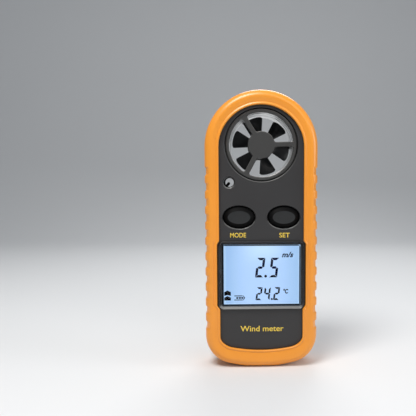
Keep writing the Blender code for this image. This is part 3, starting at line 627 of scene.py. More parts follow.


# ---- Front case ------------------------------------------------------------------------------
# The front half of the case, moulded in charcoal plastic with a fine spark-eroded grain.
# The raised bezel round the display, darkened to near black above its sill as painted shade, the two key
# wells and the sensor's hole are part of it.

duct_low, duct_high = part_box("front_grille")
duct_z = (duct_low.z + duct_high.z) / 2
grille_radius = 14.2 * MM
duct_hole = grille_radius + 0.3 * MM
sensor_at = (-12.9 * MM, 74.6 * MM)
key_z = sum(v.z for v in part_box("mode_key")) / 2
key_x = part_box("set_key")[0].x / 2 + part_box("set_key")[1].x / 2
pane_low, pane_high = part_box("display_window")
screw_places = {
    "upper_left": (-14.6 * MM, 68.0 * MM),
    "upper_right": (14.6 * MM, 68.0 * MM),
    "lower_left": (-13.2 * MM, 9.8 * MM),
    "lower_right": (13.2 * MM, 9.8 * MM),
}


def case_loop(offset):
    """The closed case outline, moved outwards by the offset, as (x, z) points."""
    half = [
        (point[0] + normal[0] * offset, point[1] + normal[1] * offset)
        for point, normal in outline_path(48, [], 16, 12)
    ]
    half[0] = (0.0, half[0][1])
    half[-1] = (0.0, half[-1][1])
    return half + [(-x, z) for x, z in half[-2:0:-1]]


def oval(half_width, half_height, centre=(0, 0), count=72):
    """An ellipse as (x, z) points."""
    turns = [2 * pi * i / count for i in range(count)]
    return [(centre[0] + half_width * cos(t), centre[1] + half_height * sin(t)) for t in turns]


def round_at(radius, centre, count=72):
    return oval(radius, radius, centre, count)


def rounded_box(half_width, low, high, radius, steps=8):
    """A rectangle between two heights, with round corners, as (x, z) points."""
    points = []
    for x, z, start in (
        (half_width - radius, low + radius, -90),
        (half_width - radius, high - radius, 0),
        (radius - half_width, high - radius, 90),
        (radius - half_width, low + radius, 180),
    ):
        for i in range(steps + 1):
            turn = radians(start + 90 * i / steps)
            points.append((x + radius * cos(turn), z + radius * sin(turn)))
    return points


def stacked(layers, closed=False):
    """A solid from outlines of equal length at their depths. A closed stack is a ring."""
    bm = bmesh.new()
    rows = [[bm.verts.new((x, y, z)) for x, z in outline] for outline, y in layers]
    pairs = list(zip(rows, rows[1:]))
    if closed:
        pairs.append((rows[-1], rows[0]))
    for row, following in pairs:
        for i in range(len(row)):
            j = (i + 1) % len(row)
            bm.faces.new((row[i], row[j], following[j], following[i]))
    if not closed:
        bm.faces.new(rows[0])
        bm.faces.new(rows[-1])
    bmesh.ops.recalc_face_normals(bm, faces=bm.faces)
    return bm


def through(outline, start, end):
    """A straight solid with the same outline from one depth to another."""
    return stacked([(outline, start), (outline, end)])


def turned(profile, centre=(0, 0, 0), segments=96):
    """A profile of (radius, depth) points turned round an axis along Y through the centre."""
    bm = bmesh.new()
    points = [bm.verts.new((radius, depth, 0)) for radius, depth in profile]
    edges = [bm.edges.new(pair) for pair in zip(points, points[1:])]
    if min(radius for radius, _ in profile) > 0:
        edges.append(bm.edges.new((points[-1], points[0])))
    bmesh.ops.spin(
        bm, geom=points + edges, cent=(0, 0, 0), axis=(0, 1, 0), angle=2 * pi, steps=segments, use_merge=True
    )
    bmesh.ops.remove_doubles(bm, verts=bm.verts, dist=1e-6)
    bmesh.ops.recalc_face_normals(bm, faces=bm.faces)
    bmesh.ops.translate(bm, verts=bm.verts, vec=centre)
    return bm


def rounding(edge, steps):
    """The quarter round of an edge, from its face: how far in from the side, and how far down."""
    turns = [pi / 2 * i / steps for i in range(steps + 1)]
    return [(edge * (1 - sin(turn)), edge * (1 - cos(turn))) for turn in turns]


def mouth(outline_at, face, radius, floor):
    """A cutter for a hole whose mouth in a face is rounded off. The floor lies behind the face."""
    side = 1 if floor > face else -1
    layers = [(outline_at(radius), face - side * MM)]
    for i in range(7):
        turn = radians(86 - 86 * i / 6)
        layers.append((outline_at(radius * (1 - cos(turn))), face + side * radius * (1 - sin(turn))))
    layers.append((outline_at(0.0), floor))
    return stacked(layers)


def round_mouth(hole, centre, count, face, radius, floor):
    """The same cutter for a round hole."""
    return mouth(lambda out: round_at(hole + out, centre, count), face, radius, floor)


def combined(obj, operation, tools):
    """The object with each tool mesh joined to it or cut from it, one after the other."""
    for bm in tools:
        tool = add_mesh("tool", bm, obj.data.materials[0])
        boolean = obj.modifiers.new("boolean", "BOOLEAN")
        boolean.operation = operation
        boolean.solver = "EXACT"
        boolean.object = tool
        applied(obj)
        bpy.data.objects.remove(tool)
    return obj


def settled(obj, smooth=35):
    """Shades the object smooth, with sharp edges past the angle and flat faces kept flat."""
    obj.data.shade_smooth()
    obj.data.set_sharp_from_angle(angle=radians(smooth))
    weights = obj.modifiers.new("flat_faces", "WEIGHTED_NORMAL")
    weights.keep_sharp = True
    weights.weight = 80
    return applied(obj)


def half_case(name, side, parting, finish):
    """Half of the case: a face with a rounded edge, and side walls back to the parting line."""
    face = -face_y * side
    edge = 1.1 * MM
    wall = 1.4 * MM
    layers = [(case_loop(-inset), face - side * drop) for inset, drop in rounding(edge, 8)]
    layers.append((case_loop(0), parting))
    layers.append((case_loop(-wall), parting))
    layers.append((case_loop(-wall), face - side * face_wall))
    return add_mesh(name, stacked(layers), finish)


face_wall = 1.5 * MM
bezel_face = case_low.y
charcoal_plastic = moulded_material(
    "charcoal_plastic",
    (0.0235, 0.0226, 0.0232),
    (0.033, 0.032, 0.033),
    0.43,
    grain=5200.0,
    bump=0.10,
    mottle=45.0,
)
# Painted highlight, with polish that lowers the roughness, on the face's rounded edges above the display and
# on the bezel's lower part.
polish_edges_and_paint_highlight(
    charcoal_plastic,
    (((6.95, 7.12, 7.42, 7.495), 53.0, 120.0), ((7.52, 7.70, 8.35, 8.52), 20.0, 40.0)),
    (0.20, 0.20, 0.195),
    0.26,
)
tree = charcoal_plastic.node_tree
_, axes = object_axes(tree)
# Painted shade: above its sill the bezel's front and bevels are darkened to near black, where they face away
# from the lamp above.
proud = ramp_between(tree, math_node(tree, "MULTIPLY", axes["Y"], -1.0), 7.6 * MM, 7.7 * MM)
above_sill = ramp_between(tree, axes["Z"], 25.2 * MM, 27.0 * MM)
painted_bezel_shade = math_node(tree, "MULTIPLY", math_node(tree, "MULTIPLY", proud, above_sill), 0.85)
paint_over(charcoal_plastic, painted_bezel_shade, (0.002, 0.002, 0.002))
front_shell = half_case("front_shell", -1, 0.0, charcoal_plastic)
front_floor = face_y + face_wall
front_root = front_floor - 0.5 * MM
bezel_half = 17.4 * MM
bezel_corner = 2.6 * MM
bezel_layers = [(rounded_box(bezel_half, bezel_low, bezel_high, bezel_corner), front_root)]
for inset, drop in rounding(0.4 * MM, 6)[::-1]:
    outline = rounded_box(bezel_half - inset, bezel_low + inset, bezel_high - inset, bezel_corner - inset)
    bezel_layers.append((outline, bezel_face + drop))
additions = [stacked(bezel_layers)]
additions += [through(round_at(1.9 * MM, at, 32), front_root, 0.0) for at in screw_places.values()]
additions.append(through(round_at(3.0 * MM, sensor_at), front_root, -0.6 * MM))
combined(front_shell, "UNION", additions)
window_half = pane_high.x + 0.3 * MM
window_low = pane_low.z - 0.3 * MM
window_high = pane_high.z + 0.3 * MM


def window_outline(out):
    return rounded_box(window_half + out, window_low - out, window_high + out, 0.9 * MM + out * 0.8)


bevel_run = 1.0 * MM
window_cut = stacked(
    [
        (window_outline(bevel_run * 1.9), bezel_face - 0.9 * MM),
        (window_outline(bevel_run), bezel_face + 0.12 * MM),
        (window_outline(0.03 * MM), face_y + 0.05 * MM),
        (window_outline(0), face_y + 0.15 * MM),
        (window_outline(0), front_floor + MM),
    ]
)
cuts = [window_cut]
for x in (-key_x, key_x):

    def well(out, x=x):
        return oval(6.5 * MM + out, 4.55 * MM + out, (x, key_z), 96)

    cuts.append(mouth(well, face_y, 0.55 * MM, 0.0))
cuts.append(round_mouth(2.15 * MM, sensor_at, 72, face_y, 0.6 * MM, MM))
cuts.append(round_mouth(duct_hole, (0, duct_z), 160, face_y, 0.3 * MM, front_floor + MM))
cuts += [through(round_at(1.1 * MM, at, 24), -3.2 * MM, MM) for at in screw_places.values()]
combined(front_shell, "DIFFERENCE", cuts)
settled(front_shell)
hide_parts("front_case")
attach(front_shell, "housing")


# ---- Grilles ---------------------------------------------------------------------------------
# A ring, three spokes and a hub disc in one black moulding guard the fan at each end of its duct.
# The roots of the spokes are filleted, and each ring sits in its half of the case on a flange.

hub_radius = 5.35 * MM
ring_inner = 12.7 * MM
spoke_half = 0.95 * MM
spoke_angles = (2, 122, 242)


def opening(out, first, last, fillet):
    """The outline of one gap between two spokes, with round corners, moved outwards by an offset."""
    half = spoke_half - out
    outer = ring_inner + out
    inner = hub_radius - out
    outer_reach = sqrt((outer - fillet) ** 2 - (half + fillet) ** 2)
    inner_reach = sqrt((inner + fillet) ** 2 - (half + fillet) ** 2)
    outer_turn = degrees(acos(outer_reach / (outer - fillet)))
    inner_turn = degrees(acos(inner_reach / (inner + fillet)))
    points = []

    def arc(middle, radius, start, end, steps):
        for i in range(steps + 1):
            turn = radians(start + (end - start) * i / steps)
            points.append((middle[0] + radius * cos(turn), middle[1] + radius * sin(turn)))

    def corner(angle, reach, side):
        """The centre of a corner's fillet, beside the spoke at the angle."""
        turn = radians(angle)
        across = side * (half + fillet)
        return (reach * cos(turn) - across * sin(turn), reach * sin(turn) + across * cos(turn))

    arc(corner(first, outer_reach, 1), fillet, first - 90, first + outer_turn, 6)
    arc((0, 0), outer, first + outer_turn, last - outer_turn, 30)
    arc(corner(last, outer_reach, -1), fillet, last - outer_turn, last + 90, 6)
    arc(corner(last, inner_reach, -1), fillet, last + 90, last + 180 - inner_turn, 6)
    arc((0, 0), inner, last - inner_turn, first + inner_turn, 16)
    arc(corner(first, inner_reach, 1), fillet, first + 180 + inner_turn, first + 270, 6)
    return [(x, z + duct_z) for x, z in points]


black_moulding = moulded_material(
    "black_moulding",
    (0.034, 0.0335, 0.033),
    (0.045, 0.044, 0.043),
    0.42,
    grain=4800.0,
    bump=0.08,
    mottle=70.0,
)
# Painted highlight, with polish that lowers the roughness, on the grille's front edges.
polish_edges_and_paint_highlight(black_moulding, (((6.85, 7.02, 7.24, 7.29), 53.0, 120.0),), (0.17, 0.168, 0.165), 0.26)


def grille(name, side):
    """A grille: a turned blank with a hollow hub, and three gaps cut through it with rounded edges."""
    face = side * 7.3 * MM
    rim_radius = grille_radius - 0.15 * MM
    flange_radius = 15.4 * MM
    flange_bore = 13.65 * MM
    hub_bore = 4.6 * MM
    boss_radius = 2.5 * MM
    boss_bore = 1.8 * MM

    def at(depth):
        return face - side * depth

    plate = at(0.95 * MM)
    shoulder = at(1.6 * MM)
    back = at(2.4 * MM)
    blank = [(0, at(0.0))] + [(rim_radius - inset, at(drop)) for inset, drop in rounding(0.5 * MM, 6)]
    blank += [(rim_radius, shoulder), (flange_radius, shoulder), (flange_radius, back), (flange_bore, back)]
    blank += [(flange_bore, plate), (hub_radius, plate), (hub_radius, back), (hub_bore, back)]
    blank += [(hub_bore, plate), (boss_radius, plate), (boss_radius, back), (boss_bore, back)]
    blank += [(boss_bore, at(1.15 * MM)), (0, at(1.15 * MM))]
    obj = add_mesh(name, turned(blank, (0, 0, duct_z), 144), black_moulding)
    gaps = []
    for first, last in zip(spoke_angles, spoke_angles[1:] + (spoke_angles[0] + 360,)):

        def gap(out):
            return opening(out, first, last, 0.9 * MM - out * 0.3)

        gaps.append(mouth(gap, face, 0.35 * MM, at(1.8 * MM)))
    combined(obj, "DIFFERENCE", gaps)
    return settled(obj)


front_guard = grille("front_guard", -1)
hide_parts("front_grille")
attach(front_guard, "housing")
rear_guard = grille("rear_guard", 1)


def lead_slot(inner, outer, depth, thick):
    """A cutter between two radii on the lowest spoke, for the speed sensor's flat lead."""
    bm = bmesh.new()
    bmesh.ops.create_cube(bm, size=1.0)
    for vert in bm.verts:
        x = (inner + outer) / 2 + vert.co.x * (outer - inner)
        vert.co = Vector((x, depth + vert.co.y * thick, vert.co.z * 1.8 * MM))
    bmesh.ops.rotate(bm, verts=bm.verts, matrix=Matrix.Rotation(-radians(spoke_angles[-1]), 3, "Y"))
    bmesh.ops.translate(bm, verts=bm.verts, vec=(0, 0, duct_z))
    return bm


combined(
    rear_guard,
    "DIFFERENCE",
    [lead_slot(4.4 * MM, 6.0 * MM, 4.8 * MM, 1.6 * MM), lead_slot(13.0 * MM, 17.0 * MM, 4.8 * MM, 1.6 * MM)],
)
settled(rear_guard)
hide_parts("rear_grille")
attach(rear_guard, "housing")


# ---- Duct liner ------------------------------------------------------------------------------
# A turned aluminium ring lines the duct round the fan. Two shallow grooves run round its bore,
# and the lathe has left fine rings on it that spread its highlights across the light. The grooves are
# darkened with painted shade.

liner_low, liner_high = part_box("duct_liner")
liner_grooves = (-3.4 * MM, 0.9 * MM)
turned_alloy, tree, alloy = new_material("turned_alloy")
place, axes = object_axes(tree)
squeeze = tree.nodes.new("ShaderNodeMapping")
squeeze.inputs["Scale"].default_value = (60, 9000, 60)
tree.links.new(place, squeeze.inputs["Vector"])
rings = noise_node(tree, squeeze.outputs[0], 1.0, 3.0)
alloy.inputs["Metallic"].default_value = 1.0
turned_colour = blend_colours(tree, rings, (0.80, 0.80, 0.80), (0.95, 0.95, 0.94))
tree.links.new(turned_colour, alloy.inputs["Base Color"])
# Painted shade: the two grooves are darkened, standing in for the shade that falls in them.
for groove in liner_grooves:
    away = math_node(tree, "ABSOLUTE", math_node(tree, "SUBTRACT", axes["Y"], groove))
    off_groove = ramp_between(tree, away, 0.6 * MM, 0.85 * MM)
    painted_groove_shade = math_node(tree, "MULTIPLY", math_node(tree, "SUBTRACT", 1.0, off_groove), 0.7)
    paint_over(turned_alloy, painted_groove_shade, (0.10, 0.10, 0.10))
tree.links.new(math_node(tree, "MULTIPLY_ADD", rings, 0.25, 0.22), alloy.inputs["Roughness"])
add_relief(tree, alloy, rings, 0.12, 0.05 * MM)

liner_front = liner_low.y
liner_back = liner_high.y


def bore_at(y):
    """The radius of the liner's bore, which narrows a little towards the back."""
    return (12.6 - 0.35 * (y - liner_front) / (liner_back - liner_front)) * MM


bore = []
groove_half = 0.8 * MM
groove_depth = 0.35 * MM
for groove in liner_grooves:
    bore += [
        (bore_at(groove - groove_half), groove - groove_half),
        (bore_at(groove) + groove_depth, groove - groove_half + 0.1 * MM),
        (bore_at(groove) + groove_depth, groove + groove_half - 0.1 * MM),
        (bore_at(groove + groove_half), groove + groove_half),
    ]
outer_radius = liner_high.x
bevel = 0.15 * MM
liner_profile = [(outer_radius, liner_back), (outer_radius, liner_front)]
liner_profile += [(bore_at(liner_front) + bevel, liner_front), (bore_at(liner_front), liner_front + bevel)]
liner_profile += bore + [(bore_at(liner_back), liner_back)]
alloy_liner = add_mesh("alloy_liner", turned(liner_profile, (0, 0, duct_z), 160), turned_alloy, smooth=20)
combined(alloy_liner, "DIFFERENCE", [lead_slot(11.5 * MM, 14.5 * MM, 5.6 * MM, 1.7 * MM)])
settled(alloy_liner, 20)
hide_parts("duct_liner")
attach(alloy_liner, "housing")


# ---- Fan -------------------------------------------------------------------------------------
# The fan is one light moulding in black plastic: a drum with six pitched blades round it.
# It spins on a steel shaft, and a magnet ring behind the drum passes the speed sensor.

vane_plastic = moulded_material(
    "vane_plastic",
    (0.0030, 0.0034, 0.0048),
    (0.0050, 0.0056, 0.0072),
    0.50,
    grain=3800.0,
    bump=0.05,
    mottle=80.0,
)
vane_plastic.node_tree.nodes["Principled BSDF"].inputs["Specular IOR Level"].default_value = 0.25

blade_root = 4.2 * MM
blade_tip = 11.7 * MM
blade_span = radians(36)
blade_first = radians(45)
blade_rise = 2.3 * MM
blade_middle = 0.6 * MM
blade_half_thick = 0.3 * MM
blade_mesh = bmesh.new()
across_steps = 20
along_steps = 12
upper, lower = [], []
for i in range(along_steps + 1):
    reach = i / along_steps
    twist = 1 - 0.35 * reach
    upper_row, lower_row = [], []
    for j in range(across_steps + 1):
        lean = 2 * j / across_steps - 1
        shy = 0.55 * MM * abs(lean) ** 7
        radius = blade_root + (blade_tip - shy - blade_root) * reach
        angle = lean * blade_span / 2
        depth = blade_middle + blade_rise * lean * twist
        thick = blade_half_thick * (1 - 0.8 * abs(lean) ** 6) * (1 - 0.5 * reach**12)
        spot = (radius * cos(angle), radius * sin(angle))
        upper_row.append(blade_mesh.verts.new((spot[0], depth + thick, spot[1])))
        lower_row.append(blade_mesh.verts.new((spot[0], depth - thick, spot[1])))
    upper.append(upper_row)
    lower.append(lower_row)
for sheet, flip in ((upper, False), (lower, True)):
    for i in range(along_steps):
        for j in range(across_steps):
            corners = [sheet[i][j], sheet[i + 1][j], sheet[i + 1][j + 1], sheet[i][j + 1]]
            blade_mesh.faces.new(corners[::-1] if flip else corners)
rims = [
    sheet[0] + [row[-1] for row in sheet[1:]] + sheet[-1][-2::-1] + [row[0] for row in sheet[-2:0:-1]]
    for sheet in (upper, lower)
]
for i in range(len(rims[0])):
    j = (i + 1) % len(rims[0])
    blade_mesh.faces.new((rims[0][i], rims[0][j], rims[1][j], rims[1][i]))
bmesh.ops.recalc_face_normals(blade_mesh, faces=blade_mesh.faces)
fan = add_mesh("fan", blade_mesh, vane_plastic, smooth=50)

ring_of_copies, ring_in, ring_out = geometry_tree(
    "ring_of_copies",
    (
        ("Centre", "NodeSocketVector", (0, 0, 0)),
        ("Count", "NodeSocketInt", 6),
        ("First Angle", "NodeSocketFloat", 0.0),
        ("Finish", "NodeSocketMaterial", None),
    ),
)
points = ring_of_copies.nodes.new("GeometryNodeMeshLine")
ring_of_copies.links.new(ring_in.outputs["Count"], points.inputs["Count"])
ring_of_copies.links.new(ring_in.outputs["Centre"], points.inputs["Start Location"])
points.inputs["Offset"].default_value = (0, 0, 0)
number = ring_of_copies.nodes.new("GeometryNodeInputIndex").outputs[0]
share = math_node(ring_of_copies, "DIVIDE", number, ring_in.outputs["Count"])
turn = math_node(ring_of_copies, "MULTIPLY", share, -2 * pi)
turn = math_node(ring_of_copies, "SUBTRACT", turn, ring_in.outputs["First Angle"])
euler = ring_of_copies.nodes.new("ShaderNodeCombineXYZ")
ring_of_copies.links.new(turn, euler.inputs["Y"])
rotation = ring_of_copies.nodes.new("FunctionNodeEulerToRotation")
ring_of_copies.links.new(euler.outputs[0], rotation.inputs[0])
copies = ring_of_copies.nodes.new("GeometryNodeInstanceOnPoints")
ring_of_copies.links.new(points.outputs[0], copies.inputs["Points"])
ring_of_copies.links.new(ring_in.outputs["Geometry"], copies.inputs["Instance"])
ring_of_copies.links.new(rotation.outputs[0], copies.inputs["Rotation"])
realized_and_painted(ring_of_copies, copies.outputs[0], ring_in.outputs["Finish"], ring_out)

grown(
    fan,
    ring_of_copies,
    {"Centre": (0, 0, duct_z), "Count": 6, "First Angle": blade_first, "Finish": vane_plastic},
)
drum_radius = 4.6 * MM
drum_front = -4.2 * MM
drum_back = 3.5 * MM
shaft_radius = 0.55 * MM
drum = [(shaft_radius, drum_front)]
drum += [(drum_radius - inset, drum_front + drop) for inset, drop in rounding(0.35 * MM, 5)]
drum += [(drum_radius, drum_back), (shaft_radius, drum_back)]
combined(fan, "UNION", [turned(drum, (0, 0, duct_z), 96)])
settled(fan, 40)
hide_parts("impeller")
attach(fan, "rotor")


# ---- Temperature sensor ----------------------------------------------------------------------
# A glass bead dipped in black resin hangs in the through hole on its stiff lead, in the open air.
# The lead leaves the tube between its front and rear halves and runs down to the board.

bead_low, bead_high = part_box("temperature_sensor")
bead_depth = (bead_low.y + bead_high.y) / 2
lead_way = ((-12.75, 74.55), (-13.3, 73.95), (-14.75, 72.15), (-14.1, 71.35), (-11.2, 70.3))
lead_line = smooth_through([Vector((x * MM, z * MM)) for x, z in lead_way], 10)
lead_bm = bmesh.new()
lead_rows = []
sides = 20
for i, point in enumerate(lead_line):
    along = (lead_line[min(i + 1, len(lead_line) - 1)] - lead_line[max(i - 1, 0)]).normalized()
    across = Vector((-along.y, along.x))
    bead = 0.6 * MM * sqrt(max(1 - ((i - 9) / 8.5) ** 2, 0.0))
    radius = max(0.24 * MM, bead)
    row = []
    for k in range(sides):
        turn = 2 * pi * k / sides
        out = radius * cos(turn)
        spot = (point.x + across.x * out, bead_depth + radius * sin(turn), point.y + across.y * out)
        row.append(lead_bm.verts.new(spot))
    lead_rows.append(row)
for row, following in zip(lead_rows, lead_rows[1:]):
    for i in range(sides):
        j = (i + 1) % sides
        lead_bm.faces.new((row[i], row[j], following[j], following[i]))
lead_bm.faces.new(lead_rows[0])
lead_bm.faces.new(lead_rows[-1])
bmesh.ops.recalc_face_normals(lead_bm, faces=lead_bm.faces)
dipped_resin = moulded_material("dipped_resin", (0.010, 0.010, 0.012), (0.018, 0.017, 0.018), 0.18, bump=0.03)
sensor_bead = add_mesh("sensor_bead", lead_bm, dipped_resin, smooth=60)
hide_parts("temperature_sensor")
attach(sensor_bead, "housing")


# ---- Display ---------------------------------------------------------------------------------
# A liquid crystal glass stands behind an acrylic pane with a printed black border, glued into the
# bezel. A light panel glows through it, brighter above the middle, and its segments stop the light.

clear_acrylic, tree, pane_shader = new_material("clear_acrylic")
pane_shader.inputs["IOR"].default_value = 1.2
pane_shader.inputs["Transmission Weight"].default_value = 1.0
pane_shader.inputs["Specular IOR Level"].default_value = 0.03
place, axes = object_axes(tree)
smears = noise_node(tree, place, 140.0, 4.0)
tree.links.new(math_node(tree, "MULTIPLY", smears, 0.02), pane_shader.inputs["Roughness"])

pane_half = pane_high.x
pane_middle = (pane_low.z + pane_high.z) / 2
from_side = math_node(tree, "SUBTRACT", pane_half, math_node(tree, "ABSOLUTE", axes["X"]))
from_middle = math_node(tree, "ABSOLUTE", math_node(tree, "SUBTRACT", axes["Z"], pane_middle))
from_end = math_node(tree, "SUBTRACT", pane_high.z - pane_middle, from_middle)
from_rim = math_node(tree, "MINIMUM", from_side, from_end)
clear_share = ramp_between(tree, from_rim, 0.30 * MM, 0.34 * MM)
pane_colour = blend_colours(tree, clear_share, (0.004, 0.004, 0.005), (0.97, 0.985, 1.0))
tree.links.new(pane_colour, pane_shader.inputs["Base Color"])

pane_edge = 0.12 * MM
pane_layers = []
for inset, y in (
    (pane_edge, pane_low.y),
    (pane_edge * 0.3, pane_low.y + pane_edge * 0.3),
    (0.0, pane_low.y + pane_edge),
    (0.0, pane_high.y - pane_edge),
    (pane_edge * 0.3, pane_high.y - pane_edge * 0.3),
    (pane_edge, pane_high.y),
):
    outline = rounded_box(pane_half - inset, pane_low.z + inset, pane_high.z - inset, 0.9 * MM)
    pane_layers.append((outline, y))
clear_pane = add_mesh("clear_pane", stacked(pane_layers), clear_acrylic)
settled(clear_pane, 30)
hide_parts("display_window")
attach(clear_pane, "housing")

glass_low, glass_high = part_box("lcd_glass")
glass_middle = (glass_low.z + glass_high.z) / 2
lit_half = 15.0 * MM
lit_half_height = 12.0 * MM
lit_glass, tree, lit_shader = new_material("lit_glass")
lit_shader.inputs["Base Color"].default_value = (0.02, 0.03, 0.04, 1)
lit_shader.inputs["Roughness"].default_value = 0.3
lit_shader.inputs["Specular IOR Level"].default_value = 0.2
lit_shader.inputs["Emission Strength"].default_value = 1.0
centre_on = tree.nodes.new("ShaderNodeMapping")
centre_on.vector_type = "TEXTURE"
centre_on.inputs["Location"].default_value = (0.3 * MM, 0, glass_middle)
centre_on.inputs["Scale"].default_value = (lit_half, 1.0, lit_half_height)
tree.links.new(tree.nodes.new("ShaderNodeTexCoord").outputs["Object"], centre_on.inputs["Vector"])
split = tree.nodes.new("ShaderNodeSeparateXYZ")
tree.links.new(centre_on.outputs[0], split.inputs[0])
leftward = math_node(tree, "MULTIPLY", split.outputs["X"], -1.0)
aside = math_node(tree, "ABSOLUTE", leftward)
upward = split.outputs["Z"]
off_middle = math_node(tree, "ABSOLUTE", upward)
glow = blend_colours(tree, ramp_between(tree, aside, 0.30, 1.05), (0.455, 0.660, 1.0), (0.355, 0.565, 0.86))
near_middle = math_node(tree, "SUBTRACT", 1.0, ramp_between(tree, aside, 0.05, 0.75))
crown = math_node(tree, "MULTIPLY", ramp_between(tree, upward, 0.15, 0.95), near_middle)
glow = blend_colours(tree, crown, glow, (0.575, 0.795, 1.0))
left_side = math_node(tree, "MULTIPLY", ramp_between(tree, leftward, 0.72, 0.95), 0.55)
glow = blend_colours(tree, left_side, glow, (0.33, 0.53, 0.87))
rim = ramp_between(tree, math_node(tree, "MAXIMUM", aside, off_middle), 0.965, 0.985)
glow = blend_colours(tree, math_node(tree, "MULTIPLY", rim, 0.35), glow, (0.56, 0.78, 1.0))
across = math_node(tree, "MULTIPLY", aside, lit_half / (15.45 * MM))
along = math_node(tree, "MULTIPLY", off_middle, lit_half_height / (12.1 * MM))
masked = ramp_between(tree, math_node(tree, "MAXIMUM", across, along), 0.998, 1.004)
tree.links.new(blend_colours(tree, masked, glow, (0.0, 0.0, 0.0)), lit_shader.inputs["Emission Color"])

glass_edge = 0.15 * MM
lit_layers = []
for inset, y in (
    (glass_edge, glass_low.y),
    (0.0, glass_low.y + glass_edge),
    (0.0, -5.05 * MM),
    (0.08 * MM, -5.02 * MM),
    (0.08 * MM, -4.98 * MM),
    (0.0, -4.95 * MM),
    (0.0, glass_high.y - glass_edge),
    (glass_edge, glass_high.y),
):
    outline = rounded_box(glass_high.x - inset, glass_low.z + inset, glass_high.z - inset, 0.3 * MM, 2)
    lit_layers.append((outline, y))
display_glass = add_mesh("display_glass", stacked(lit_layers), lit_glass)
settled(display_glass, 30)
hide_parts("lcd_glass")
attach(display_glass, "housing")

segment_ink, tree, ink_shader = new_material("segment_ink")
ink_shader.inputs["Roughness"].default_value = 0.5
ink_shader.inputs["Specular IOR Level"].default_value = 0.0
_, axes = object_axes(tree)
higher = ramp_between(tree, axes["Z"], 30 * MM, 46 * MM)
ink_colour = blend_colours(tree, higher, (0.0003, 0.0004, 0.004), (0.0002, 0.002, 0.045))
tree.links.new(ink_colour, ink_shader.inputs["Base Color"])

# The digits lean a little, and their seven bars are mitred with thin gaps between them.
segment_bars = {"2": "abged", "5": "afgcd", "4": "fgbc"}
ink_front = glass_low.y - 0.03 * MM
ink_back = glass_low.y + 0.05 * MM
lean = 0.118
segments_bm = bmesh.new()


def ink_shape(bm, outline):
    """A thin flat shape on the glass, from an (x, z) outline in millimetres."""
    face = [bm.verts.new((x * MM, ink_front, z * MM)) for x, z in outline]
    rear = [bm.verts.new((x * MM, ink_back, z * MM)) for x, z in outline]
    bm.faces.new(face)
    bm.faces.new(rear[::-1])
    for i in range(len(face)):
        j = (i + 1) % len(face)
        bm.faces.new((face[j], face[i], rear[i], rear[j]))


def digit(bm, bars, x, z, width, height, stroke):
    """A seven bar digit whose lower left corner is at x and z, in millimetres. Its bars are mitred."""
    gap = stroke * 0.09
    middle = height / 2
    level = [(gap, height), (width - gap, height)]
    level += [(width - gap - stroke, height - stroke), (gap + stroke, height - stroke)]
    upright = [(0, height - gap), (stroke, height - gap - stroke), (stroke, middle + gap + stroke / 2)]
    upright += [(stroke / 2, middle + gap), (0, middle + gap + stroke / 4)]
    bridge = [(gap + stroke / 2, middle), (gap + stroke, middle + stroke / 2)]
    bridge += [(width - gap - stroke, middle + stroke / 2), (width - gap - stroke / 2, middle)]
    bridge += [(width - gap - stroke, middle - stroke / 2), (gap + stroke, middle - stroke / 2)]
    shapes = {
        "a": (level, False, False),
        "b": (upright, True, False),
        "c": (upright, True, True),
        "d": (level, False, True),
        "e": (upright, False, True),
        "f": (upright, False, False),
        "g": (bridge, False, False),
    }
    for bar in bars:
        shape, mirrored, upturned = shapes[bar]
        placed = [(width - a if mirrored else a, height - b if upturned else b) for a, b in shape]
        ink_shape(bm, [(x + a + b * lean, z + b) for a, b in placed])


for mark, x, z, width, height, stroke in (
    ("2", -2.6, 36.25, 3.3, 8.0, 0.98),
    ("5", 3.05, 36.25, 3.3, 8.0, 0.98),
    ("2", -2.4, 26.95, 2.3, 5.3, 0.72),
    ("4", 0.75, 26.95, 2.5, 5.3, 0.72),
    ("2", 4.7, 26.95, 2.3, 5.3, 0.72),
):
    digit(segments_bm, segment_bars[mark], x, z, width, height, stroke)
for x, z, radius in ((1.72, 36.75, 0.56), (4.22, 27.35, 0.42)):
    ink_shape(segments_bm, [(x + radius * cos(t * pi / 8), z + radius * sin(t * pi / 8)) for t in range(16)])
for low, eaves, top, dip in ((28.85, 30.35, 31.0, 0.30), (26.95, 28.1, 28.72, 0.0)):
    ink_shape(
        segments_bm,
        [(-15.0, low), (-13.7, low + dip), (-12.35, low), (-12.35, eaves), (-13.7, top), (-15.0, eaves)],
    )
charge_left, charge_shoulder, charge_tip, charge_low, charge_high = -10.95, -7.6, -6.55, 26.95, 28.95
charge_middle = (charge_low + charge_high) / 2
outline_stroke = 0.34
for edge, towards in ((charge_low, 1), (charge_high, -1)):
    inner = edge + towards * outline_stroke
    level = [(charge_left, edge), (charge_shoulder, edge), (charge_shoulder, inner), (charge_left, inner)]
    ink_shape(segments_bm, level)
    slope = [(charge_shoulder + 0.05, edge), (charge_shoulder + 0.3, edge)]
    slope += [(charge_tip, charge_middle), (charge_tip - 0.4, charge_middle)]
    ink_shape(segments_bm, slope)
for x in (-10.15, -9.1, -8.1):
    ink_shape(segments_bm, [(x, 27.6), (x + 0.8, 27.6), (x + 0.8, 28.3), (x, 28.3)])
bmesh.ops.recalc_face_normals(segments_bm, faces=segments_bm.faces)
display_segments = add_mesh("display_segments", segments_bm, segment_ink)


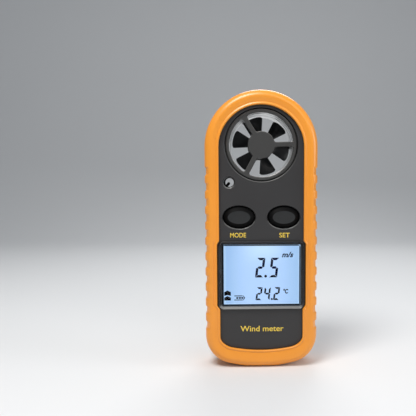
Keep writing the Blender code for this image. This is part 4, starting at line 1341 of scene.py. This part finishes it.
def lettering(words, size, weight, slant, centre, width, depth, thick):
    """Flat letters as a mesh, scaled to a width and centred at (x, z) on the face at the depth."""
    curve = bpy.data.curves.new("letters", "FONT")
    curve.body = words
    curve.size = size
    curve.offset = weight
    curve.shear = slant
    curve.extrude = thick / 2
    curve.resolution_u = 6
    flat = bpy.data.objects.new("letters", curve)
    bpy.context.scene.collection.objects.link(flat)
    bpy.context.view_layer.update()
    graph = bpy.context.evaluated_depsgraph_get()
    mesh = bpy.data.meshes.new_from_object(flat.evaluated_get(graph))
    bpy.data.objects.remove(flat)
    bm = bmesh.new()
    bm.from_mesh(mesh)
    bpy.data.meshes.remove(mesh)
    bmesh.ops.remove_doubles(bm, verts=bm.verts, dist=1e-8)
    xs = [v.co.x for v in bm.verts]
    zs = [v.co.y for v in bm.verts]
    stretch = width / (max(xs) - min(xs))
    middle_x = (max(xs) + min(xs)) / 2
    middle_z = (max(zs) + min(zs)) / 2
    for v in bm.verts:
        x = centre[0] + (v.co.x - middle_x) * stretch
        v.co = Vector((x, depth - v.co.z, centre[1] + v.co.y - middle_z))
    bmesh.ops.recalc_face_normals(bm, faces=bm.faces)
    return bm


ink_middle = ink_front + 0.04 * MM
ink_thick = 0.08 * MM
unit_bm = lettering("m/s", 2.9 * MM, 0.09 * MM, 0.28, (10.6 * MM, 45.5 * MM), 4.7 * MM, ink_middle, ink_thick)
degree_at = (9.9 * MM, 30.55 * MM)
degree_bm = lettering("°C", 2.4 * MM, 0.10 * MM, 0.12, degree_at, 1.95 * MM, ink_middle, ink_thick)
for bm in (unit_bm, degree_bm):
    bm.from_mesh(display_segments.data)
    bm.to_mesh(display_segments.data)
    bm.free()
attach(display_segments, "housing")


# ---- Keys ------------------------------------------------------------------------------------
# Two oval keys of black silicone rubber stand in their wells. Each has a flat matt crown painted grey, and
# sloping sides left near black as painted shade. A flange behind the face keeps each key in.

key_rubber = moulded_material(
    "key_rubber_finish",
    (0.0020, 0.0020, 0.0022),
    (0.0034, 0.0034, 0.0036),
    0.55,
    grain=5200.0,
    bump=0.06,
    spread=0.10,
    mottle=160.0,
)
tree = key_rubber.node_tree
tree.nodes["Principled BSDF"].inputs["Specular IOR Level"].default_value = 0.1
place, axes = object_axes(tree)
key_aside = math_node(tree, "SUBTRACT", math_node(tree, "ABSOLUTE", axes["X"]), key_x)
key_above = math_node(tree, "SUBTRACT", axes["Z"], key_z)
key_aside = math_node(tree, "POWER", math_node(tree, "DIVIDE", key_aside, 4.35 * MM), 2.0)
key_above = math_node(tree, "POWER", math_node(tree, "DIVIDE", key_above, 2.5 * MM), 2.0)
off_crown = ramp_between(tree, math_node(tree, "ADD", key_aside, key_above), 0.96, 1.10)
crown = math_node(tree, "SUBTRACT", 1.0, off_crown)
mottle = noise_node(tree, place, 160.0, 4.0)
# Painted shade: the crown is painted grey, and the sloping sides keep the near black base colour, standing in
# for shade in the well.
paint_over(key_rubber, crown, blend_colours(tree, mottle, (0.027, 0.028, 0.029), (0.034, 0.035, 0.036)))

# The keys' rings from the crown to the stem: half width, half height and depth in millimetres.
key_profile = (
    (0.8, 0.45, -8.34), (2.4, 1.3, -8.345), (3.7, 2.05, -8.36), (4.25, 2.4, -8.40),
    (4.5, 2.55, -8.42), (4.68, 2.70, -8.40), (4.82, 2.83, -8.32), (4.98, 2.99, -8.14),
    (5.25, 3.27, -7.80), (5.62, 3.66, -7.40), (5.92, 3.96, -7.08), (6.08, 4.13, -6.80),
    (6.15, 4.2, -6.45), (6.15, 4.2, -5.7), (6.95, 4.95, -5.7), (7.0, 5.0, -5.62),
    (7.0, 5.0, -4.98), (6.9, 4.9, -4.9), (3.2, 2.4, -4.7), (3.0, 2.2, -3.4),
)
for side, name in ((-1, "mode"), (1, "set")):
    at = (side * key_x, key_z)
    key_bm = stacked([(oval(a * MM, b * MM, at, 96), y * MM) for a, b, y in key_profile])
    key = add_mesh(name + "_button", key_bm, key_rubber)
    settled(key, 45)
    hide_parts(name + "_key")
    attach(key, name + "_button")


# ---- Legends ---------------------------------------------------------------------------------
# The words are pad printed on the case in yellow ink, a few hundredths of a millimetre thick.
# The keys are named below them, and the lower label only says what the meter is for.

yellow_ink = moulded_material(
    "yellow_ink", (0.80, 0.56, 0.060), (0.86, 0.62, 0.080), 0.5, grain=6000.0, bump=0.03, mottle=300.0
)
label_print = None
for words, centre, width, size in (
    ("MODE", (-9.3 * MM, 53.6 * MM), 6.3 * MM, 2.6 * MM),
    ("SET", (9.2 * MM, 53.55 * MM), 4.2 * MM, 2.6 * MM),
    ("Wind meter", (0.2 * MM, 15.7 * MM), 17.4 * MM, 3.2 * MM),
):
    bm = lettering(words, size, 0.03 * MM, 0.0, centre, width, face_y - 0.005 * MM, 0.03 * MM)
    if label_print:
        bm.from_mesh(label_print.data)
        bm.to_mesh(label_print.data)
        bm.free()
    else:
        label_print = add_mesh("label_print", bm, yellow_ink)
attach(label_print, "housing")


# ---- Rear case -------------------------------------------------------------------------------
# The back half of the case, in the same charcoal plastic, takes the coin cell in a walled bay.
# Four deep sockets let the case screws in, and two pockets hold the battery door's pins.


def rod(radius, left, right, y, z, count=32):
    """A plain rod along X."""
    bm = bmesh.new()
    turns = [2 * pi * i / count for i in range(count)]
    rings = [
        [bm.verts.new((x, y + radius * cos(turn), z + radius * sin(turn))) for turn in turns]
        for x in (left, right)
    ]
    for i in range(count):
        j = (i + 1) % count
        bm.faces.new((rings[0][i], rings[0][j], rings[1][j], rings[1][i]))
    bm.faces.new(rings[0])
    bm.faces.new(rings[1])
    bmesh.ops.recalc_face_normals(bm, faces=bm.faces)
    return bm


door_low, door_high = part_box("battery_door")
cell_low, cell_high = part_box("coin_cell")
cell_z = (cell_low.z + cell_high.z) / 2
cell_radius = cell_high.x
door_half = 11.3 * MM
pin_y = 6.6 * MM
pin_z = 20.3 * MM
back_face = -face_y
back_floor = back_face - face_wall
back_root = back_floor + 0.5 * MM
parting = rear_low.y
rear_shell = half_case("rear_shell", 1, parting, charcoal_plastic)
bay_wall = rounded_box(cell_radius + 1.4 * MM, cell_z - 11.8 * MM, cell_z + 11.8 * MM, 1.2 * MM)
bay_room = rounded_box(cell_radius + 0.6 * MM, cell_z - 10.9 * MM, cell_z + 10.9 * MM, MM)
additions = [through(bay_wall, 0.8 * MM, back_root)]
additions += [through(round_at(2.7 * MM, at, 48), parting, back_root) for at in screw_places.values()]
additions.append(through(round_at(3.0 * MM, sensor_at), 0.9 * MM, back_root))
for side in (-1, 1):
    left, right = sorted((side * (door_half - 0.3 * MM), side * (door_half + 2.0 * MM)))
    ear_low, ear_high = pin_z - 1.2 * MM, pin_z + 1.3 * MM
    ear = [(left, ear_low), (right, ear_low), (right, ear_high), (left, ear_high)]
    additions.append(through(ear, 4.6 * MM, back_root))
combined(rear_shell, "UNION", additions)


def door_opening(out):
    top = door_high.z + 0.3 * MM + out
    return rounded_box(door_half + 0.3 * MM + out, 19.5 * MM - out, top, MM + out)


cuts = [
    mouth(door_opening, back_face, 0.22 * MM, back_floor),
    through(bay_room, -MM, back_floor + 0.2 * MM),
    round_mouth(duct_hole, (0, duct_z), 160, back_face, 0.3 * MM, -MM),
    round_mouth(1.8 * MM, sensor_at, 72, back_face, 0.5 * MM, -MM),
]
for at in screw_places.values():
    cuts.append(through(round_at(1.15 * MM, at, 32), -MM, back_face + MM))
    cuts.append(round_mouth(2.1 * MM, at, 64, back_face, 0.25 * MM, back_floor - 0.4 * MM))
for side in (-1, 1):
    left, right = sorted((side * (door_half - 0.4 * MM), side * (door_half + 1.3 * MM)))
    cuts.append(rod(0.55 * MM, left, right, pin_y, pin_z))
combined(rear_shell, "DIFFERENCE", cuts)
settled(rear_shell)
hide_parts("rear_case")
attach(rear_shell, "housing")


# ---- Battery door ----------------------------------------------------------------------------
# A flat door in the same plastic covers the coin cell and turns on two pins at its lower edge.
# A thumb hollow near its upper edge and a small triangle beside it show where to lift it.

door_bottom = 19.95 * MM
door_corner = 0.8 * MM
panel_layers = []
for inset, drop in rounding(0.25 * MM, 5):
    round_off = door_corner - inset * 0.5
    outline = rounded_box(door_half - inset, door_bottom + inset, door_high.z - inset, round_off)
    panel_layers.append((outline, door_high.y - drop))
panel_layers.append((rounded_box(door_half, door_bottom, door_high.z, door_corner), 6.3 * MM))
door_panel = add_mesh("door_panel", stacked(panel_layers), charcoal_plastic)
combined(door_panel, "UNION", [rod(0.36 * MM, door_low.x, door_high.x, pin_y, pin_z)])
hollow_z = door_high.z - 2.6 * MM


def thumb_hollow(out):
    return oval(3.7 * MM + out, MM + out, (0, hollow_z), 64)


hollow = mouth(thumb_hollow, door_high.y, 0.3 * MM, 6.7 * MM)
sign = [(-1.3 * MM, hollow_z - 3.6 * MM), (0, hollow_z - 2.2 * MM), (1.3 * MM, hollow_z - 3.6 * MM)]
combined(door_panel, "DIFFERENCE", [hollow, through(sign, door_high.y - 0.2 * MM, door_high.y + MM)])
settled(door_panel)
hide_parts("battery_door")
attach(door_panel, "door")


# ---- Coin cell -------------------------------------------------------------------------------
# A lithium coin cell: a bright steel can with a rolled rim, whose flat pole shows in the bay.
# A plain plus sign is pressed into the pole.

bright_steel, tree, steel_shader = new_material("bright_steel")
steel_shader.inputs["Metallic"].default_value = 1.0
place, _ = object_axes(tree)
brushed = tree.nodes.new("ShaderNodeMapping")
brushed.inputs["Scale"].default_value = (400, 400, 9000)
tree.links.new(place, brushed.inputs["Vector"])
strokes = noise_node(tree, brushed.outputs[0], 1.0, 3.0)
steel_colour = blend_colours(tree, strokes, (0.50, 0.50, 0.49), (0.66, 0.66, 0.64))
tree.links.new(steel_colour, steel_shader.inputs["Base Color"])
tree.links.new(math_node(tree, "MULTIPLY_ADD", strokes, 0.22, 0.2), steel_shader.inputs["Roughness"])

pole_y = cell_high.y - 0.05 * MM
can = [(0, pole_y), (cell_radius - 1.6 * MM, pole_y), (cell_radius - 1.3 * MM, cell_high.y)]
can += [(cell_radius - inset, cell_high.y - drop) for inset, drop in rounding(0.35 * MM, 5)]
can += [(cell_radius, 2.8 * MM), (9.7 * MM, 2.4 * MM), (8.7 * MM, 2.3 * MM)]
can += [(8.6 * MM, cell_low.y), (0, cell_low.y)]
steel_can = add_mesh("steel_can", turned(can, (0, 0, cell_z), 128), bright_steel)


def cross(reach, half, turn, centre):
    """A plus-shaped outline as (x, z) points, turned about its centre."""
    points = []
    for quarter in range(4):
        angle = turn + quarter * pi / 2
        for a, b in ((reach, -half), (reach, half), (half, half)):
            x = centre[0] + a * cos(angle) - b * sin(angle)
            points.append((x, centre[1] + a * sin(angle) + b * cos(angle)))
    return points


plus = cross(2.8 * MM, 0.45 * MM, 0.0, (0, cell_z))
combined(steel_can, "DIFFERENCE", [through(plus, cell_high.y - 0.35 * MM, cell_high.y + MM)])
settled(steel_can, 25)
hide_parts("coin_cell")
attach(steel_can, "housing")


# ---- Case screws -----------------------------------------------------------------------------
# Four zinc plated pan head screws with cross recesses hold the two halves of the case together.
# They are driven from the back, in sockets below its face, into the posts of the front case.

drive_turns = {"upper_left": 0.3, "upper_right": 1.0, "lower_left": 0.75, "lower_right": 0.1}
seat_y = 5.9 * MM
thread_radius = 0.8 * MM
thread_root = 0.62 * MM
thread_pitch = 0.5 * MM
for name, (x, z) in screw_places.items():
    low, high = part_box("case_screw_" + name)
    head_radius = high.x - x
    head = [(0, high.y), (0.5 * MM, high.y - 0.01 * MM)]
    for turn in (35, 50, 62, 74, 84, 90):
        dome = high.y - 0.55 * MM * (1 - cos(radians(turn)))
        head.append((head_radius * sin(radians(turn)) ** 0.8, dome))
    head += [(head_radius, seat_y), (thread_radius, seat_y)]
    thread_y = 5.2 * MM
    while thread_y > low.y + 0.9 * MM:
        head += [(thread_radius, thread_y), (thread_root, thread_y - 0.2 * MM)]
        head.append((thread_radius, thread_y - 0.4 * MM))
        thread_y -= thread_pitch
    head += [(0.7 * MM, low.y + 0.4 * MM), (0, low.y)]
    screw = add_mesh("screw_" + name, turned(head, (x, 0, z), 48), bright_steel)
    recess = [
        (cross(reach * MM, half * MM, drive_turns[name], (x, z)), high.y + up * MM)
        for reach, half, up in ((1.25, 0.26, 0.3), (1.10, 0.22, 0.0), (0.45, 0.12, -0.75))
    ]
    combined(screw, "DIFFERENCE", [stacked(recess)])
    settled(screw, 30)
    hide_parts("case_screw_" + name)
    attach(screw, "housing")


# ---- Inside parts ----------------------------------------------------------------------------
# What stays behind the faces keeps its plain shape and gets its real finish: the green board and
# its parts, the keypad's silicone, the striped contact strips, the sensor and its flat lead.


def inside_finish(name, colour, other_colour, roughness, grain, bump):
    return moulded_material(name, colour, other_colour, roughness, grain=grain, bump=bump)


white_plastic = inside_finish("white_plastic", (0.74, 0.74, 0.71), (0.82, 0.82, 0.80), 0.42, 2500.0, 0.03)
grey_silicone = inside_finish("grey_silicone", (0.20, 0.20, 0.21), (0.28, 0.28, 0.29), 0.62, 2500.0, 0.05)
carbon_pill = inside_finish("carbon_pill", (0.008, 0.008, 0.009), (0.016, 0.016, 0.016), 0.75, 5000.0, 0.12)
amber_film = inside_finish("amber_film", (0.42, 0.15, 0.02), (0.52, 0.21, 0.03), 0.28, 2000.0, 0.02)
pressed_ferrite = inside_finish(
    "pressed_ferrite", (0.035, 0.035, 0.04), (0.06, 0.06, 0.065), 0.5, 7000.0, 0.15
)
sintered_brass = inside_finish("sintered_brass", (0.50, 0.34, 0.12), (0.62, 0.44, 0.17), 0.34, 7000.0, 0.10)
sintered_brass.node_tree.nodes["Principled BSDF"].inputs["Metallic"].default_value = 1.0
potting_epoxy = inside_finish(
    "potting_epoxy", (0.010, 0.010, 0.011), (0.018, 0.018, 0.018), 0.22, 900.0, 0.05
)
solder_mask = inside_finish("solder_mask", (0.010, 0.105, 0.035), (0.018, 0.150, 0.050), 0.30, 1500.0, 0.05)

striped_strip = inside_finish("striped_strip", (0.50, 0.26, 0.30), (0.58, 0.32, 0.36), 0.6, 2500.0, 0.03)
stripe_pitch = 0.36 * MM
tree = striped_strip.node_tree
_, axes = object_axes(tree)
stripes = math_node(tree, "SINE", math_node(tree, "MULTIPLY", axes["X"], 2 * pi / stripe_pitch))
paint_over(striped_strip, ramp_between(tree, stripes, -0.2, 0.2), (0.012, 0.012, 0.013))

for finish, names in (
    (bright_steel, ("impeller_shaft", "quartz_crystal", "negative_contact", "positive_contact")),
    (bright_steel, ("board_screw_upper", "board_screw_lower")),
    (pressed_ferrite, ("rotor_magnet",)),
    (sintered_brass, ("front_bearing", "rear_bearing", "filter_capacitor")),
    (black_moulding, ("speed_sensor",)),
    (amber_film, ("sensor_flex",)),
    (white_plastic, ("lcd_holder", "backlight_panel", "backlight_led")),
    (striped_strip, ("upper_contact_strip", "lower_contact_strip")),
    (carbon_pill, ("mode_key_contact", "set_key_contact")),
    (grey_silicone, ("keypad_mat",)),
    (solder_mask, ("main_board",)),
    (potting_epoxy, ("driver_chip",)),
):
    for name in names:
        for surface_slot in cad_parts[name].material_slots:
            surface_slot.material = finish
